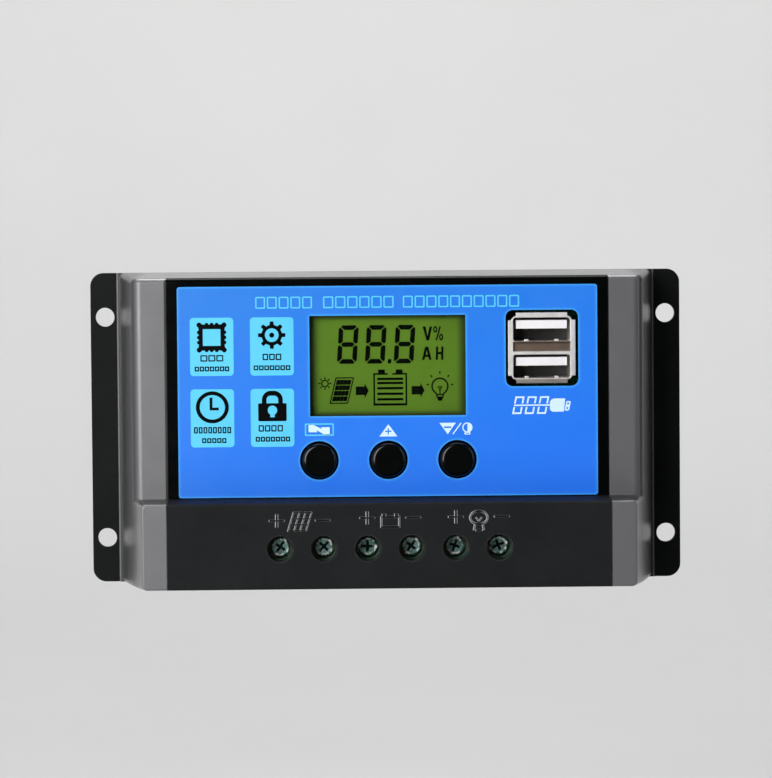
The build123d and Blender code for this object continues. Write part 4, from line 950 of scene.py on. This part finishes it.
# Each figure's place from the display's middle.
DISPLAY_FIGURES = (
    (show_digits, 0.0, 0.0),
    (show_units, 0.0, 0.0),
    (show_sun, -13.78, -3.82),
    (show_panel, -10.1, -5.4),
    (show_arrow, -5.63, -5.48),
    (show_battery, 0.52, -5.0),
    (show_arrow, 6.62, -5.48),
    (show_lamp, 11.42, -4.62),
)


def make_display_figures():
    """Dark segments just in front of the display glass."""
    layer = Layer("display_figures", DISPLAY_OUT, PRINT_THICKNESS)
    for show, dx, dz in DISPLAY_FIGURES:
        show(layer, DISPLAY_X + dx, DISPLAY_Z + dz)
    layer.finish("display_ink")


make_tiles()
make_heading()
make_socket_mark()
make_key_signs()
make_display_figures()


# ---- Stage, light and camera ----

# Metres. The floor lies FLOOR_DROP below the part, is flat out to FLOOR_RADIUS and then curves up.
FLOOR_DROP = 0.25
FLOOR_RADIUS = 1.2
BOWL_RADIUS = 2.2
BOWL_HEIGHT = 2.2
BOWL_STEPS = 24
TURN_STEPS = 48
WELD_DISTANCE = 0.0001
FLOOR_COLOURS = ("#c6c6c6", "#cacaca")
FRONT_EDGE = math.radians(-30.0)
BACK_EDGE = math.pi - FRONT_EDGE


def make_stage():
    """A pale floor that curves up into a wall all round, in a back part and a front part.

    Only the back part shows in glossy reflections, as the photographer's dark room lies in front.
    """
    curve = BOWL_RADIUS - FLOOR_RADIUS
    profile = [(0.0, 0.0), (FLOOR_RADIUS, 0.0)]
    for i in range(1, BOWL_STEPS + 1):
        angle = math.pi / 2 * i / BOWL_STEPS
        profile.append((FLOOR_RADIUS + curve * math.sin(angle), curve * (1 - math.cos(angle))))
    profile.append((BOWL_RADIUS, BOWL_HEIGHT))
    shader = Shader("floor_paint", roughness=0.9)
    shader.colour(shader.mottle(3.0, *FLOOR_COLOURS))
    foot = CAD_BOX[0].z - FLOOR_DROP
    sectors = (
        ("back_floor", FRONT_EDGE, BACK_EDGE),
        ("front_floor", BACK_EDGE, 2 * math.pi + FRONT_EDGE),
    )
    for name, start, end in sectors:
        mesh = bmesh.new()
        points = [mesh.verts.new((r * math.cos(start), r * math.sin(start), z + foot)) for r, z in profile]
        edges = [mesh.edges.new(pair) for pair in zip(points, points[1:])]
        turn = {"cent": (0, 0, 0), "axis": (0, 0, 1), "angle": end - start, "steps": TURN_STEPS}
        bmesh.ops.spin(mesh, geom=points + edges, **turn)
        bmesh.ops.remove_doubles(mesh, verts=mesh.verts, dist=WELD_DISTANCE)
        data = bpy.data.meshes.new(name)
        mesh.to_mesh(data)
        mesh.free()
        data.shade_smooth()
        data.materials.append(shader.material)
        floor = bpy.data.objects.new(name, data)
        floor.visible_glossy = name == "back_floor"
        bpy.context.scene.collection.objects.link(floor)


PART_PLACE = (0.0, 0.0, 0.0)
WALL_PLACE = (0.0, 2.2, 0.3)
WORLD_STRENGTH = 0.05
# Name, place, target, size in metres, power in watts, and spread in degrees.
LIGHTS = (
    ("key_light", (-0.42, -0.75, 0.2), PART_PLACE, (0.5, 0.6), 7.5, 180.0),
    ("left_light", (-0.9, -0.4, 0.15), PART_PLACE, (0.12, 0.8), 1.2, 180.0),
    ("right_light", (0.9, -0.4, 0.3), PART_PLACE, (0.12, 0.8), 1.3, 180.0),
    ("top_light", (0.0, 0.2, 1.0), PART_PLACE, (1.0, 0.6), 7.5, 120.0),
    ("wall_light", (0.0, 0.5, 1.7), WALL_PLACE, (2.0, 0.5), 30.0, 140.0),
)


def area_light(name, place, target, size, power, spread):
    """A rectangular light that the camera doesn't see."""
    light = bpy.data.lights.new(name, "AREA")
    light.shape = "RECTANGLE"
    light.size, light.size_y = size
    light.energy = power
    light.spread = math.radians(spread)
    made = bpy.data.objects.new(name, light)
    made.location = place
    made.rotation_euler = (Vector(target) - Vector(place)).to_track_quat("-Z", "Y").to_euler()
    made.visible_camera = False
    bpy.context.scene.collection.objects.link(made)


def make_lights():
    """The studio lights and a faint even light from all round."""
    for light in LIGHTS:
        area_light(*light)
    world = bpy.data.worlds.new("studio")
    world.use_nodes = True
    background = world.node_tree.nodes["Background"]
    background.inputs["Color"].default_value = (1.0, 1.0, 1.0, 1.0)
    background.inputs["Strength"].default_value = WORLD_STRENGTH
    bpy.context.scene.world = world


# Places in metres, lens and sensor in millimetres.
CAMERA_PLACE = Vector((-0.011, -0.6765, 0.035))
CAMERA_TARGET = Vector((0.0, -0.0015, 0.0082))
CAMERA_ROLL = math.radians(-0.46)
CAMERA_LENS = 137.75
CAMERA_SENSOR = 36.0
CAMERA_NEAR = 0.01


def make_camera():
    """The photo's view: a long lens close to straight in front."""
    data = bpy.data.cameras.new("camera")
    data.lens = CAMERA_LENS
    data.sensor_width = CAMERA_SENSOR
    data.clip_start = CAMERA_NEAR
    camera = bpy.data.objects.new("camera", data)
    camera.location = CAMERA_PLACE
    aim = (CAMERA_TARGET - CAMERA_PLACE).to_track_quat("-Z", "Y").to_matrix()
    camera.rotation_euler = (aim @ Matrix.Rotation(CAMERA_ROLL, 3, "Z")).to_euler()
    bpy.context.scene.collection.objects.link(camera)
    bpy.context.scene.camera = camera


make_stage()
make_lights()
make_camera()
bpy.context.scene.view_settings.view_transform = "Standard"
